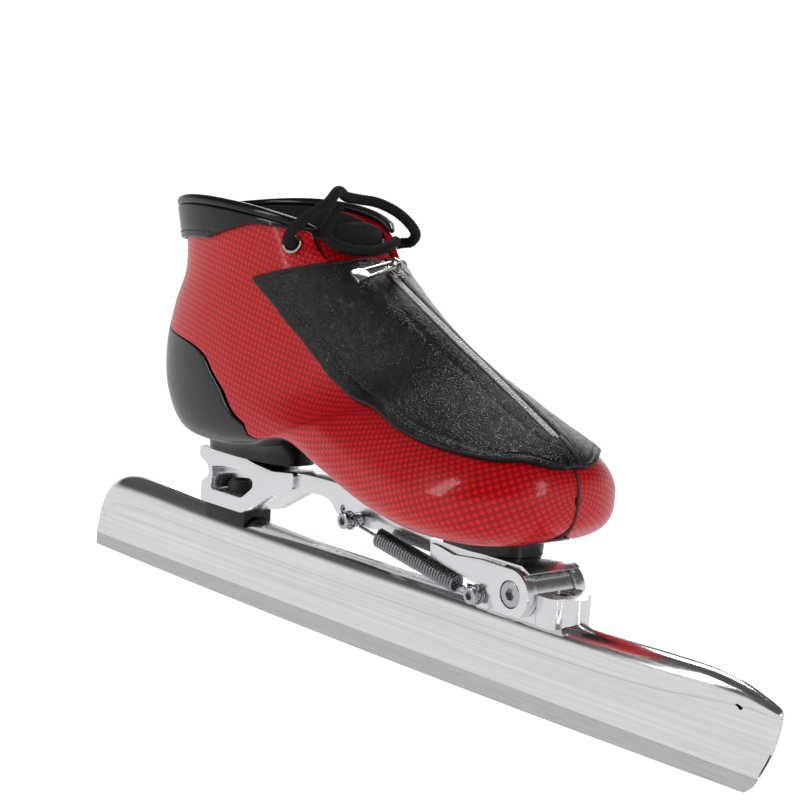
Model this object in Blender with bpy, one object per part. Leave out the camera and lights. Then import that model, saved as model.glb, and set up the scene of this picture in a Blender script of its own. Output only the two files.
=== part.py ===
"""One long-track clap speed skate: low carbon boot, hinged aluminium bridge, tube blade.

Frame: +X toe, +Z up, origin under the middle of the runner's edge. Sizes are millimetres
until mesh_object() turns them into metres.
"""
import math

import bmesh
import bpy
from mathutils import Matrix, Vector

MM = 0.001
GAP = 0.3                    # clearance between flat faces that touch
SKIN_GAP = 0.8               # clearance between curved sheets with different facets

# Blade
RUNNER_THICK = 1.2
ROCKER_RADIUS = 12000.0      # radius of the runner's curved edge, seen from the side
SKIRT_BOTTOM = 8.0           # where the steel runner leaves the tube's skirt
TUBE_WALL = 1.0
FLAT = 20.0                  # half length of the flat middle of the edge
SLOT_TOP = 17.0              # roof of the slot that the runner sits in
HEEL_X, TOE_X = -214.8, 199.5
CLOSED_R = 3.5               # below this radius the tube's end is pinched shut
SLIT = 0.12                  # half width of the pinched slot
BASE_SCREWS = (74.0, 108.0)
SCREW_SEATS = (44.2, 48.6)
BLOCK_SCREW = -96.5

# Hinge
HINGE = (94.9, 48.6)         # x, z of the axle
EAR_OUT = 15.5               # half width over the ears
EAR_IN = 10.4
EAR_R = 9.6
KNUCKLE_R = 8.6
AXLE_R = 3.0

# Bridge
ARM_HALF = 9.5
RING_HALF = 12.0
HEEL_TOP = 70.0
PLATE_TOP = 60.0
HEEL_BOLTS = ((-87.0, 0.0),)
BALL_BOLTS = ((58.0, -5.0), (58.0, 5.0))
BOLT_SEATS = (63.2, 56.2, 56.2)
GRUB = (-12.5, 59.8)         # x, z of the small screw beside the spring's rear pin
BOLT_GRIP = 9.8

# Spring
SPRING_Y = -14.6
REAR_PIN = (-1.7, 57.6)
FRONT_PIN = (76.2, 44.2)
COIL_R = 4.0
COIL_START = 19.0            # distance of the coil's ends from the rear pin
COIL_END = 68.5
WIRE_R = 0.6
HOOK_R = 3.4                 # middle of the hook's wire eye
GROOVE_R = 1.3               # bottom of the groove in each spring pin

# Boot: one row per station from collar to toe tip
# top x, top z, bottom x, bottom z, half width, widest place, top power, bottom power, side rise
STATIONS = (
    (-16.0, 169.5, -135.0, 175.0, 33.0, 0.50, 2.1, 2.2, 8.0),
    (-7.2, 160.8, -131.0, 161.0, 33.0, 0.50, 2.0, 2.2, 5.0),
    (2.5, 155.4, -129.5, 148.0, 33.5, 0.48, 1.9, 2.3, 1.5),
    (14.5, 149.4, -135.5, 133.0, 34.5, 0.46, 1.8, 2.4, 0.0),
    (26.5, 143.8, -139.0, 113.0, 35.5, 0.44, 1.7, 2.5, 0.0),
    (37.5, 138.6, -134.0, 93.0, 36.0, 0.42, 1.65, 2.7, 0.0),
    (47.5, 133.9, -117.0, 78.0, 36.5, 0.40, 1.6, 3.0, 0.0),
    (56.0, 130.2, -88.0, 75.5, 37.5, 0.38, 1.55, 3.2, 0.0),
    (63.0, 126.9, -58.0, 79.0, 39.0, 0.36, 1.55, 3.2, 0.0),
    (70.0, 123.6, -30.0, 86.0, 41.0, 0.34, 1.55, 3.2, 0.0),
    (77.0, 120.3, 0.0, 79.5, 44.0, 0.34, 1.6, 3.2, 0.0),
    (84.0, 117.0, 32.0, 70.5, 45.5, 0.36, 1.65, 3.2, 0.0),
    (91.0, 113.7, 62.0, 66.0, 45.5, 0.40, 1.65, 3.2, 0.0),
    (98.0, 110.4, 88.0, 66.5, 42.0, 0.42, 1.7, 3.2, 0.0),
    (105.0, 107.0, 104.0, 69.5, 34.5, 0.45, 1.8, 3.2, 0.0),
    (112.0, 102.5, 113.0, 74.5, 25.0, 0.47, 2.0, 3.0, 0.0),
    (117.0, 97.0, 117.3, 79.5, 14.0, 0.50, 2.2, 2.6, 0.0),
    (119.0, 90.0, 119.0, 87.0, 1.0, 0.50, 2.0, 2.0, 0.0),
)
LAST = len(STATIONS) - 1
SWING = 0.055                # sideways run of the centre line per millimetre forward
SWING_START = -20.0
SWING_EASE = 30.0
SHELL_THICK = 2.2
LINER_THICK = 3.0
COVER_THICK = 1.3
COVER_GAP = 1.2              # the cover stands clear of the laces' side panels

# Zip
ZIP_HALF = 1.7               # half width of the chain
ZIP_GAP = 2.3                # half distance between the two leather halves
ZIP_END = 13.9               # station where the zip stops and the halves meet
SEAM_GAP = 0.25              # half distance between the halves beyond it
ZIP_TOP = 2.4
SLIDER_X = -1.0
SLIDER_RISE = 3.3            # underside of the slider above the boot's skin
BAIL_UP = 4.6                # bar that the pull hangs on, above the slider's underside
PULL_DROP = 19.0             # angle of the resting pull below level, towards the near side
PULL_LENGTH = 20.0

# Lacing
LACE_R = 2.3
EYELET = (0.66, 53.0)        # station and angle of the top pair of eyelets

RED = (0.55, 0.01, 0.02, 1.0)
BLACK = (0.012, 0.012, 0.013, 1.0)
LEATHER = (0.02, 0.02, 0.022, 1.0)
SILVER = (0.80, 0.81, 0.83, 1.0)
STEEL = (0.62, 0.63, 0.65, 1.0)
DARK_STEEL = (0.25, 0.25, 0.27, 1.0)
WHITE = (0.75, 0.76, 0.78, 1.0)


for old in list(bpy.data.objects):
    bpy.data.objects.remove(old, do_unlink=True)


# ---------------------------------------------------------------- scene helpers

def material(name, colour, rough, metal=0.0):
    """A plain Principled finish."""
    mat = bpy.data.materials.new(name)
    mat.use_nodes = True
    shader = mat.node_tree.nodes["Principled BSDF"]
    shader.inputs["Base Color"].default_value = colour
    shader.inputs["Roughness"].default_value = rough
    shader.inputs["Metallic"].default_value = metal
    return mat


def pivot(name, place):
    """An empty that a moving piece hangs from, on its joint's axis."""
    empty = bpy.data.objects.new(name, None)
    empty.location = Vector(place) * MM
    bpy.context.scene.collection.objects.link(empty)
    return empty


def mesh_object(name, bm, mat, parent=None, smooth=35.0):
    """Turn a bmesh drawn in world millimetres into a named object in metres."""
    origin = parent.location.copy() if parent else Vector((0.0, 0.0, 0.0))
    bmesh.ops.scale(bm, vec=(MM, MM, MM), verts=bm.verts)
    bmesh.ops.translate(bm, vec=-origin, verts=bm.verts)
    bmesh.ops.recalc_face_normals(bm, faces=bm.faces)
    mesh = bpy.data.meshes.new(name)
    bm.to_mesh(mesh)
    bm.free()
    mesh.materials.append(mat)
    if smooth:
        mesh.shade_smooth()
        mesh.set_sharp_from_angle(angle=math.radians(smooth))
    obj = bpy.data.objects.new(name, mesh)
    bpy.context.scene.collection.objects.link(obj)
    if parent:
        obj.parent = parent
    return obj


def cut(target, tool_bm, label):
    """Take a tool's shape out of a piece with an exact Boolean."""
    tool = mesh_object(label, tool_bm, target.data.materials[0])
    tool.hide_render = True
    tool.display_type = "WIRE"
    cutter = target.modifiers.new(label, "BOOLEAN")
    cutter.operation = "DIFFERENCE"
    cutter.solver = "EXACT"
    cutter.object = tool
    return tool


# ---------------------------------------------------------------- shape helpers

def prism(bm, outline, y_low, y_high):
    """A closed solid with a side outline of (x, z) points, between two y planes."""
    near = [bm.verts.new((x, y_low, z)) for x, z in outline]
    far = [bm.verts.new((x, y_high, z)) for x, z in outline]
    bm.faces.new(near)
    bm.faces.new(list(reversed(far)))
    count = len(outline)
    for i in range(count):
        j = (i + 1) % count
        bm.faces.new((near[i], far[i], far[j], near[j]))


def arc(cx, cz, radius, start, end, steps):
    """Points on a circle from one angle to another, both in degrees."""
    points = []
    for i in range(steps + 1):
        a = math.radians(start + (end - start) * i / steps)
        points.append((cx + radius * math.cos(a), cz + radius * math.sin(a)))
    return points


def turned(bm, profile, place, direction, sides=24):
    """A closed turned solid: profile rows of (distance along, radius), ends included."""
    along = Vector(direction).normalized()
    turn = Vector((0.0, 0.0, 1.0)).rotation_difference(along).to_matrix()
    rings = []
    for distance, radius in profile:
        ring = []
        for k in range(sides):
            a = 2.0 * math.pi * k / sides
            spot = Vector((radius * math.cos(a), radius * math.sin(a), distance))
            ring.append(bm.verts.new(turn @ spot + Vector(place)))
        rings.append(ring)
    for low, high in zip(rings, rings[1:]):
        for k in range(sides):
            n = (k + 1) % sides
            bm.faces.new((low[k], low[n], high[n], high[k]))
    bm.faces.new(list(reversed(rings[0])))
    bm.faces.new(rings[-1])


def screw_profile(head_r, head_h, shank_r, length, socket_r, socket_d):
    """Head with a socket at distance 0, shank running on along the axis."""
    return (
        (socket_d, socket_r), (0.0, socket_r + 0.05), (0.0, head_r - 0.4), (0.4, head_r),
        (head_h, head_r), (head_h + 0.05, shank_r), (length, shank_r),
    )


def loft(bm, rings):
    """Skin a list of equal rings and close both ends."""
    rows = [[bm.verts.new(p) for p in ring] for ring in rings]
    count = len(rows[0])
    for low, high in zip(rows, rows[1:]):
        for k in range(count):
            n = (k + 1) % count
            bm.faces.new((low[k], low[n], high[n], high[k]))
    bm.faces.new(list(reversed(rows[0])))
    bm.faces.new(rows[-1])


def cord(name, points, radius, mat, parent=None, resolution=2):
    """A round cord on a poly spline with closed ends."""
    curve = bpy.data.curves.new(name, "CURVE")
    curve.dimensions = "3D"
    curve.bevel_depth = radius * MM
    curve.bevel_resolution = resolution
    curve.use_fill_caps = True
    spline = curve.splines.new("POLY")
    spline.points.add(len(points) - 1)
    origin = parent.location.copy() if parent else Vector((0.0, 0.0, 0.0))
    for point, place in zip(spline.points, points):
        point.co = (*(Vector(place) * MM - origin), 1.0)
    curve.materials.append(mat)
    obj = bpy.data.objects.new(name, curve)
    bpy.context.scene.collection.objects.link(obj)
    if parent:
        obj.parent = parent
    return obj


def smooth_route(points, steps):
    """Catmull-Rom points through a hand-set route."""
    route = [Vector(p) for p in points]
    ends = [route[0] * 2 - route[1]] + route + [route[-1] * 2 - route[-2]]
    result = []
    for i in range(1, len(ends) - 2):
        for k in range(steps):
            result.append(spline_at(ends[i - 1], ends[i], ends[i + 1], ends[i + 2], k / steps))
    result.append(route[-1])
    return result


def spline_at(p0, p1, p2, p3, t):
    """One Catmull-Rom value; works for numbers and vectors."""
    return 0.5 * (
        p1 * 2 + (p2 - p0) * t
        + (p0 * 2 - p1 * 5 + p2 * 4 - p3) * t * t
        + (p1 * 3 - p0 - p2 * 3 + p3) * t * t * t
    )


# ---------------------------------------------------------------- boot surface

def station(s):
    """Section values at a fractional station number."""
    s = min(max(s, 0.0), LAST - 1e-6)
    i = int(s)
    rows = [STATIONS[min(max(j, 0), LAST)] for j in (i - 1, i, i + 1, i + 2)]
    return [spline_at(*column, s - i) for column in zip(*rows)]


def boot_skin(s, angle):
    """Outer boot surface: angle 0 is the instep, 180 the sole, negative the near side."""
    tx, tz, bx, bz, half, wide, top_power, low_power, rise = station(s)
    angle = (angle + 180.0) % 360.0 - 180.0
    a = math.radians(angle)
    power = top_power if abs(angle) < 90.0 else low_power
    along = math.copysign(abs(math.cos(a)) ** (2.0 / power), math.cos(a))
    across = math.copysign(abs(math.sin(a)) ** (2.0 / power), math.sin(a))
    reach = wide + (1.0 - wide) * along if along > 0 else wide + wide * along
    x = bx + (tx - bx) * reach
    return Vector((
        x,
        half * across + last_line(x),
        bz + (tz - bz) * reach + rise * across * across,
    ))


def last_line(x):
    """The boot's centre line, which swings to the near side ahead of the arch."""
    ahead = x - SWING_START
    return -SWING * 0.5 * (ahead + math.sqrt(ahead * ahead + SWING_EASE * SWING_EASE))


def boot_point(s, angle, out=0.0):
    """A point at a distance outside (or, negative, inside) the boot's skin."""
    spot = boot_skin(s, angle)
    if out == 0.0:
        return spot
    ds, da = 0.04, 1.5
    s0, s1 = max(s - ds, 0.0), min(s + ds, LAST - 0.01)
    u = boot_skin(s1, angle) - boot_skin(s0, angle)
    v = boot_skin(s, angle + da) - boot_skin(s, angle - da)
    normal = u.cross(v)
    if normal.length < 1e-9:
        return spot
    normal.normalize()
    return spot + normal * out


def spread(low, high, count):
    """Evenly spaced values, both ends included."""
    return [low + (high - low) * i / count for i in range(count + 1)]


def skin_patch(bm, rows, span, outer, inner, across):
    """A closed sheet following the boot between two angles given per station."""
    def grid(depth):
        result = []
        for s in rows:
            low, high = span(s)
            out = depth(s) if callable(depth) else depth
            result.append([bm.verts.new(boot_point(s, a, out)) for a in spread(low, high, across)])
        return result

    top, under = grid(outer), grid(inner)
    last_row, last_col = len(rows) - 1, across
    for i in range(last_row):
        for j in range(last_col):
            bm.faces.new((top[i][j], top[i][j + 1], top[i + 1][j + 1], top[i + 1][j]))
            bm.faces.new((under[i][j], under[i + 1][j], under[i + 1][j + 1], under[i][j + 1]))
    for i in range(last_row):
        bm.faces.new((top[i][0], top[i + 1][0], under[i + 1][0], under[i][0]))
        bm.faces.new((top[i + 1][-1], top[i][-1], under[i][-1], under[i + 1][-1]))
    for j in range(last_col):
        bm.faces.new((top[0][j + 1], top[0][j], under[0][j], under[0][j + 1]))
        bm.faces.new((top[-1][j], top[-1][j + 1], under[-1][j + 1], under[-1][j]))


def table(s, rows):
    """Read a value off a short list of (station, value) pairs."""
    if s <= rows[0][0]:
        return rows[0][1]
    for (s0, v0), (s1, v1) in zip(rows, rows[1:]):
        if s <= s1:
            return v0 + (v1 - v0) * (s - s0) / (s1 - s0)
    return rows[-1][1]


# ---------------------------------------------------------------- finishes

red_weave = material("red_coated_weave", RED, 0.25)
carbon = material("black_carbon", BLACK, 0.3)
patent = material("patent_leather", BLACK, 0.1)
leather = material("grained_leather", LEATHER, 0.5)
lining = material("black_lining", BLACK, 0.9)
aluminium = material("machined_aluminium", SILVER, 0.3, 1.0)
chrome = material("polished_tube", SILVER, 0.08, 1.0)
blade_steel = material("ground_blade_steel", STEEL, 0.35, 1.0)
bolt_steel = material("bolt_steel", STEEL, 0.25, 1.0)
spring_steel = material("spring_steel", DARK_STEEL, 0.3, 1.0)
rubber = material("black_rubber", BLACK, 0.6)
zip_silver = material("zip_chain", WHITE, 0.4)
lace_weave = material("black_lace", BLACK, 0.9)

clap = pivot("clap_pivot", (HINGE[0], 0.0, HINGE[1]))
rear_pivot = pivot("spring_pivot", (REAR_PIN[0], SPRING_Y, REAR_PIN[1]))


# ---------------------------------------------------------------- blade

def runner_edge(x):
    """Height of the ice edge: flat under the middle, curved by the rocker beyond it."""
    return max(0.0, (x * x - FLAT * FLAT) / (2.0 * ROCKER_RADIUS))



def runner():
    """Hardened steel strip whose upper part sits in the tube's slot."""
    edge = [(x, runner_edge(x)) for x in spread(HEEL_X, -FLAT, 8) + spread(FLAT, TOE_X, 8)]
    toe = [(202.5, 4.2), (204.6, SKIRT_BOTTOM - GAP), (196.0, SKIRT_BOTTOM - GAP),
           (196.0, SLOT_TOP - GAP)]
    heel = [(-200.0, SLOT_TOP - GAP), (-200.0, SKIRT_BOTTOM - GAP), (HEEL_X, SKIRT_BOTTOM - GAP)]
    bm = bmesh.new()
    prism(bm, edge + toe + heel, -RUNNER_THICK / 2, RUNNER_THICK / 2)
    mesh_object("runner", bm, blade_steel, clap, smooth=0)


# x, bottom z, top z, radius of the round top, half width of the skirt's lower edge
TUBE_STATIONS = (
    (-214.6, 8.0, 9.5, 0.8, 1.0), (-211.0, 8.0, 17.0, 2.1, 1.4), (-205.5, 8.0, 28.0, 3.8, 1.7),
    (-200.0, 8.0, 34.5, 5.5, 1.9), (-193.0, 8.0, 39.2, 7.1, 2.0), (-183.0, 8.0, 42.0, 8.0, 2.0),
    (-160.0, 8.0, 42.4, 8.0, 2.0), (-100.0, 8.0, 41.0, 8.0, 2.0), (0.0, 8.0, 40.6, 8.0, 2.0),
    (125.0, 8.0, 41.2, 8.0, 2.0), (160.0, 8.0, 41.8, 7.5, 2.0), (180.0, 8.0, 41.6, 6.3, 2.0),
    (192.0, 8.0, 40.0, 4.9, 2.0), (204.5, 8.0, 36.8, 3.0, 1.6), (209.5, 18.5, 35.1, 2.3, 1.5),
    (212.3, 30.0, 33.4, 1.1, 0.9),
)


def tube_ring(x, low, top, radius, foot):
    """One closed C-shaped section: outer teardrop, then the slot and the hollow inside."""
    core = top - radius
    crease = max(core - 0.91 * radius, low + 0.3 * (core - low))
    crease_half = max(0.41 * radius, foot)
    right = [(foot, low), (crease_half, crease)]
    right += [(radius * math.cos(math.radians(a)), core + radius * math.sin(math.radians(a)))
              for a in (-50, -25, 0, 25, 50, 72)]
    outer = right + [(0.0, top)] + [(-y, z) for y, z in reversed(right)]
    if radius > CLOSED_R:
        slot, r_in = RUNNER_THICK / 2 + GAP, radius - TUBE_WALL
        inside = [(slot, low), (slot, SLOT_TOP), (crease_half - 1.1 * TUBE_WALL, crease + 0.6)]
        inside += [(r_in * math.cos(math.radians(a)), core + r_in * math.sin(math.radians(a)))
                   for a in (-48, -15, 15, 50)]
        peak = (0.0, core + r_in)
    else:
        inside = [(SLIT, low + 0.1 * k) for k in range(7)]
        peak = (0.0, low + 0.8)
    inner = [(-y, z) for y, z in inside] + [peak] + list(reversed(inside))
    return [Vector((x, y, z)) for y, z in outer + inner]


def blade_tube():
    """Thin-walled steel tube with a skirt that grips the runner."""
    bm = bmesh.new()
    loft(bm, [tube_ring(*row) for row in TUBE_STATIONS])
    tube = mesh_object("blade_tube", bm, chrome, clap)
    holes = bmesh.new()
    for x in BASE_SCREWS + (BLOCK_SCREW,):
        turned(holes, ((37.5, 2.4), (44.0, 2.4)), (x, 0, 0), (0, 0, 1), 12)
    cut(tube, holes, "tube_holes")



# ---------------------------------------------------------------- hinge base

def hinge_base():
    """Machined block on the tube: axle knuckle, front nose and the lug for the spring pin."""
    hx, hz = HINGE
    bm = bmesh.new()
    knuckle = arc(hx, hz, KNUCKLE_R, 0, 180, 12)
    side = [(104.0, 38.6), (104.0, 46.0)] + knuckle[1:-1]
    side += [(86.2, 46.6), (66.0, 46.0), (66.0, 38.6)]
    prism(bm, side, -10.1, 10.1)
    base = mesh_object("hinge_base", bm, aluminium, clap)
    nose = bmesh.new()
    front = [(103.5, -9.9), (105.2, -9.9), (105.2, -11.0), (113.6, -11.0), (115.0, -6.0)]
    front += [(x, y) for x, y in arc(113.0, 0.0, 5.6, -50, 50, 6)]
    front += [(115.0, 6.0), (113.6, 11.0), (105.2, 11.0), (105.2, 9.9), (103.5, 9.9)]
    loft(nose, [[Vector((x, y, z)) for x, y in front] for z in (38.6, 50.2)])
    join(base, nose, "base_nose")
    lug = bmesh.new()
    prism(lug, [(70.5, 39.2), (80.6, 39.2), (80.6, 45.0), (78.6, 47.4), (73.0, 47.6), (70.5, 45.0)],
          -12.4, -9.0)
    join(base, lug, "base_lug")
    tools = bmesh.new()
    turned(tools, ((60.0, 8.35), (125.0, 8.35)), (0, 0, 33.0), (1, 0, 0), 32)
    cut(base, tools, "base_saddle")
    bores = bmesh.new()
    turned(bores, ((-12.0, 4.9), (12.0, 4.9)), (hx, 0, hz), (0, 1, 0), 24)
    turned(bores, ((-20.0, 2.3), (-6.0, 2.3)), (FRONT_PIN[0], 0, FRONT_PIN[1]), (0, 1, 0), 16)
    for x, seat in zip(BASE_SCREWS, SCREW_SEATS):
        profile = ((36.0, 2.4), (seat - 1.6, 2.4), (seat - 1.6, 4.4), (60.0, 4.4))
        turned(bores, profile, (x, 0, 0), (0, 0, 1), 16)
    cut(base, bores, "base_bores")


def join(target, extra_bm, label):
    """Weld another solid onto a piece."""
    extra = mesh_object(label, extra_bm, target.data.materials[0])
    extra.hide_render = True
    extra.display_type = "WIRE"
    welder = target.modifiers.new(label, "BOOLEAN")
    welder.operation = "UNION"
    welder.solver = "EXACT"
    welder.object = extra


def base_screws():
    """Two socket screws that hold the hinge base down on the tube."""
    for name, x, seat in zip(("base_screw_rear", "base_screw_front"), BASE_SCREWS, SCREW_SEATS):
        top = seat + 1.2
        bm = bmesh.new()
        turned(bm, screw_profile(4.0, 2.4, 2.0, top - 37.6, 1.6, 1.4), (x, 0, top), (0, 0, -1), 10)
        mesh_object(name, bm, bolt_steel, clap)


def heel_block():
    """Rubber saddle on the tube with a post that locates the bridge's heel."""
    bm = bmesh.new()
    prism(bm, [(-113.5, 35.5), (-83.5, 35.5), (-83.5, 44.6), (-113.5, 44.6)], -7.4, 7.4)
    block = mesh_object("heel_block", bm, rubber, clap)
    post = bmesh.new()
    turned(post, ((43.0, 6.2), (54.5, 6.2), (56.2, 5.2)), (BLOCK_SCREW, 0, 0), (0, 0, 1), 20)
    join(block, post, "block_post")
    tools = bmesh.new()
    turned(tools, ((-130.0, 8.4), (-70.0, 8.4)), (0, 0, 33.3), (1, 0, 0), 32)
    cut(block, tools, "block_saddle")
    bore = bmesh.new()
    turned(bore, ((36.0, 2.4), (50.0, 2.4), (50.0, 3.8), (60.0, 3.8)), (BLOCK_SCREW, 0, 0), (0, 0, 1), 16)
    cut(block, bore, "block_bore")
    screw = bmesh.new()
    turned(screw, screw_profile(3.4, 3.0, 2.0, 15.8, 1.5, 1.6), (BLOCK_SCREW, 0, 53.4), (0, 0, -1), 10)
    mesh_object("heel_block_screw", screw, bolt_steel, clap)


# ---------------------------------------------------------------- bridge

def bridge():
    """One-piece aluminium bridge: heel ring, arm and the hinge's two ears."""
    hx, hz = HINGE
    ring = [(-111.2, 45.0), (-80.0, 45.0), (-76.0, 47.0), (-58.5, 56.8), (-44.0, 62.5), (-44.0, 69.2),
            (-59.0, 67.4), (-72.0, 68.6), (-80.0, HEEL_TOP), (-113.4, HEEL_TOP), (-113.4, 65.0),
            (-107.5, 62.8), (-105.5, 59.0), (-107.0, 56.5), (-111.2, 53.8)]
    bm = bmesh.new()
    prism(bm, ring, -RING_HALF, RING_HALF)
    body = mesh_object("bridge", bm, aluminium)
    arm = [(-62.0, 56.5), (-58.5, 56.8), (-42.0, 61.5), (-30.0, 62.8), (-21.5, 62.2), (-17.0, 57.4),
           (-9.0, 54.6), (4.0, 54.4), (12.0, 56.0), (21.0, 54.2), (50.0, 53.0), (52.0, 53.0),
           (52.0, 59.8), (46.0, 59.8), (20.0, 64.4), (-5.0, 69.0), (-20.0, 70.0), (-40.0, 69.6),
           (-59.0, 67.2), (-62.0, 67.0)]
    arm_bm = bmesh.new()
    prism(arm_bm, arm, -ARM_HALF, ARM_HALF)
    join(body, arm_bm, "bridge_arm")
    plate = [(47.0, 56.6), (86.0, 56.6), (90.0, 58.9), (97.0, 58.8), (101.5, 57.0), (102.6, 57.9),
             (98.5, PLATE_TOP), (47.0, PLATE_TOP)]
    plate_bm = bmesh.new()
    prism(plate_bm, plate, -EAR_OUT + 2.0, EAR_OUT - 2.0)
    join(body, plate_bm, "bridge_plate")
    ear = arc(hx, hz, EAR_R, -55, 88, 12) + [(78.0, 58.4), (63.0, 57.0), (54.0, 58.6), (49.5, 58.8)]
    ear += [(49.5, 53.5), (60.0, 51.4), (70.0, 49.6), (80.5, 47.8), (84.5, 45.6), (87.0, 41.2)]
    ears = bmesh.new()
    prism(ears, ear, -EAR_OUT, -EAR_IN)
    prism(ears, ear, EAR_IN, EAR_OUT)
    join(body, ears, "bridge_ears")
    window = [(-104.0, 51.5), (-80.5, 51.5), (-72.6, 57.6), (-72.6, 60.8), (-81.5, 63.6), (-93.0, 63.8),
              (-104.0, 62.0), (-105.0 + 2.2, 58.8)]
    window_bm = bmesh.new()
    prism(window_bm, window, -20.0, 20.0)
    cut(body, window_bm, "bridge_window")
    holes = bmesh.new()
    turned(holes, ((40.0, 7.4), (53.0, 7.4)), (BLOCK_SCREW, 0, 0), (0, 0, 1), 24)
    for x, y in HEEL_BOLTS + BALL_BOLTS:
        turned(holes, ((53.5, 2.8), (80.0, 2.8)), (x, y, 0), (0, 0, 1), 12)
    axle = ((-20.0, 5.4), (-12.7, 5.4), (-12.7, AXLE_R + 0.3), (12.7, AXLE_R + 0.3), (12.7, 5.4), (20.0, 5.4))
    turned(holes, axle, (hx, 0, hz), (0, 1, 0), 24)
    turned(holes, ((-20.0, 2.4), (-2.0, 2.4)), (REAR_PIN[0], 0, REAR_PIN[1]), (0, 1, 0), 16)
    turned(holes, ((-20.0, 1.8), (-4.0, 1.8)), (GRUB[0], 0, GRUB[1]), (0, 1, 0), 12)
    cut(body, holes, "bridge_holes")



def hinge_hardware():
    """Axle bolt, its nut and the two flanged bushes it turns in."""
    hx, hz = HINGE
    bm = bmesh.new()
    profile = screw_profile(5.1, 2.4, AXLE_R, 27.4, 2.0, 1.8)
    turned(bm, profile, (hx, -15.3, hz), (0, 1, 0), 18)
    mesh_object("axle_bolt", bm, bolt_steel)
    nut = bmesh.new()
    turned(nut, ((0.0, 5.1), (2.4, 5.1), (2.4, 2.0), (1.2, 1.9)), (hx, 12.9, hz), (0, 1, 0), 24)
    mesh_object("axle_nut", nut, bolt_steel)
    bronze = material("bush_bronze", (0.6, 0.42, 0.2, 1.0), 0.35, 1.0)
    for name, low in (("bush_near", -10.0), ("bush_far", 2.0)):
        bush = bmesh.new()
        sleeve(bush, (hx, low, hz), (0, 1, 0), 8.0, AXLE_R + 0.05, 4.6, 24)
        mesh_object(name, bush, bronze, clap)


def sleeve(bm, place, direction, length, inner, outer, sides=20):
    """A straight ring with a hole through it."""
    corners = ((inner, 0.0), (outer, 0.0), (outer, length), (inner, length))
    ring_solid(bm, corners, place, direction, sides)


def ring_solid(bm, corners, place, direction, sides):
    """A ring turned from a closed outline of (radius, distance along) corners."""
    along = Vector(direction).normalized()
    turn = Vector((0.0, 0.0, 1.0)).rotation_difference(along).to_matrix()
    rows = []
    for radius, distance in corners:
        row = []
        for k in range(sides):
            a = 2.0 * math.pi * k / sides
            spot = Vector((radius * math.cos(a), radius * math.sin(a), distance))
            row.append(bm.verts.new(turn @ spot + Vector(place)))
        rows.append(row)
    for i in range(len(corners)):
        low, high = rows[i], rows[(i + 1) % len(corners)]
        for k in range(sides):
            n = (k + 1) % sides
            bm.faces.new((low[k], low[n], high[n], high[k]))


def boot_bolts():
    """Bolts that come up through the bridge into the boot's two mounting blocks."""
    names = ("heel_bolt", "ball_bolt_near", "ball_bolt_far")
    for name, (x, y), seat in zip(names, HEEL_BOLTS + BALL_BOLTS, BOLT_SEATS):
        bm = bmesh.new()
        profile = screw_profile(4.2, 2.6, 2.4, BOLT_GRIP + 2.6, 1.8, 1.5)
        turned(bm, profile, (x, y, seat - 2.6), (0, 0, 1), 10)
        mesh_object(name, bm, bolt_steel)


# ---------------------------------------------------------------- spring

def spring_pin(name, place, root, parent):
    """Socket-head pin with a groove for the spring's hook."""
    x, z = place
    profile = (
        (1.4, 1.5), (0.0, 1.55), (0.0, 3.0), (0.4, 3.4), (2.2, 3.4), (2.2, GROOVE_R),
        (5.2, GROOVE_R), (5.2, 3.0), (root, 3.0), (root, 2.0), (root + 5.0, 2.0),
    )
    bm = bmesh.new()
    turned(bm, profile, (x, SPRING_Y - 4.0, z), (0, 1, 0), 14)
    mesh_object(name, bm, bolt_steel, parent)


def spring_line(distance):
    """A point on the spring's centre line, measured from the rear pin."""
    start = Vector((REAR_PIN[0], SPRING_Y, REAR_PIN[1]))
    end = Vector((FRONT_PIN[0], SPRING_Y, FRONT_PIN[1]))
    return start + (end - start).normalized() * distance


def hook(name, place, reach, facing, parent):
    """Wire eye round a pin, running on as a straight rod along the spring."""
    axis = (spring_line(1.0) - spring_line(0.0)) * facing
    up = Vector((-axis.z, 0.0, axis.x))
    centre = Vector((place[0], SPRING_Y, place[1]))
    points = []
    for k in range(13):
        a = math.radians(-20.0 - 300.0 * k / 12)
        points.append(centre + (axis * math.cos(a) + up * math.sin(a)) * HOOK_R)
    tail = points[-1]
    points += [tail.lerp(centre + axis * (HOOK_R + 3.0), 0.6), centre + axis * (HOOK_R + 3.4)]
    points.append(centre + axis * reach)
    cord(name, points, WIRE_R, spring_steel, parent)



def spring():
    """Extension spring between the bridge and the hinge base."""
    bm = bmesh.new()
    start = spring_line(COIL_START)
    direction = spring_line(1.0) - spring_line(0.0)
    sleeve(bm, start, direction, COIL_END - COIL_START, COIL_R - 2 * WIRE_R, COIL_R, 20)
    mesh_object("spring_coil", bm, spring_steel, rear_pivot)
    hook("rear_hook", REAR_PIN, COIL_START + 2.0, 1.0, rear_pivot)
    span = math.hypot(FRONT_PIN[0] - REAR_PIN[0], FRONT_PIN[1] - REAR_PIN[1])
    hook("front_hook", FRONT_PIN, span - COIL_END + 2.0, -1.0, rear_pivot)
    spring_pin("rear_spring_pin", REAR_PIN, 8.6, None)
    spring_pin("front_spring_pin", FRONT_PIN, 5.9, clap)
    grub = bmesh.new()
    turned(grub, ((1.2, 0.8), (0.0, 0.85), (0.0, 1.5), (4.0, 1.5)), (GRUB[0], -9.2, GRUB[1]), (0, 1, 0), 12)
    mesh_object("grub_screw", grub, bolt_steel)


# ---------------------------------------------------------------- boot

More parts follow.
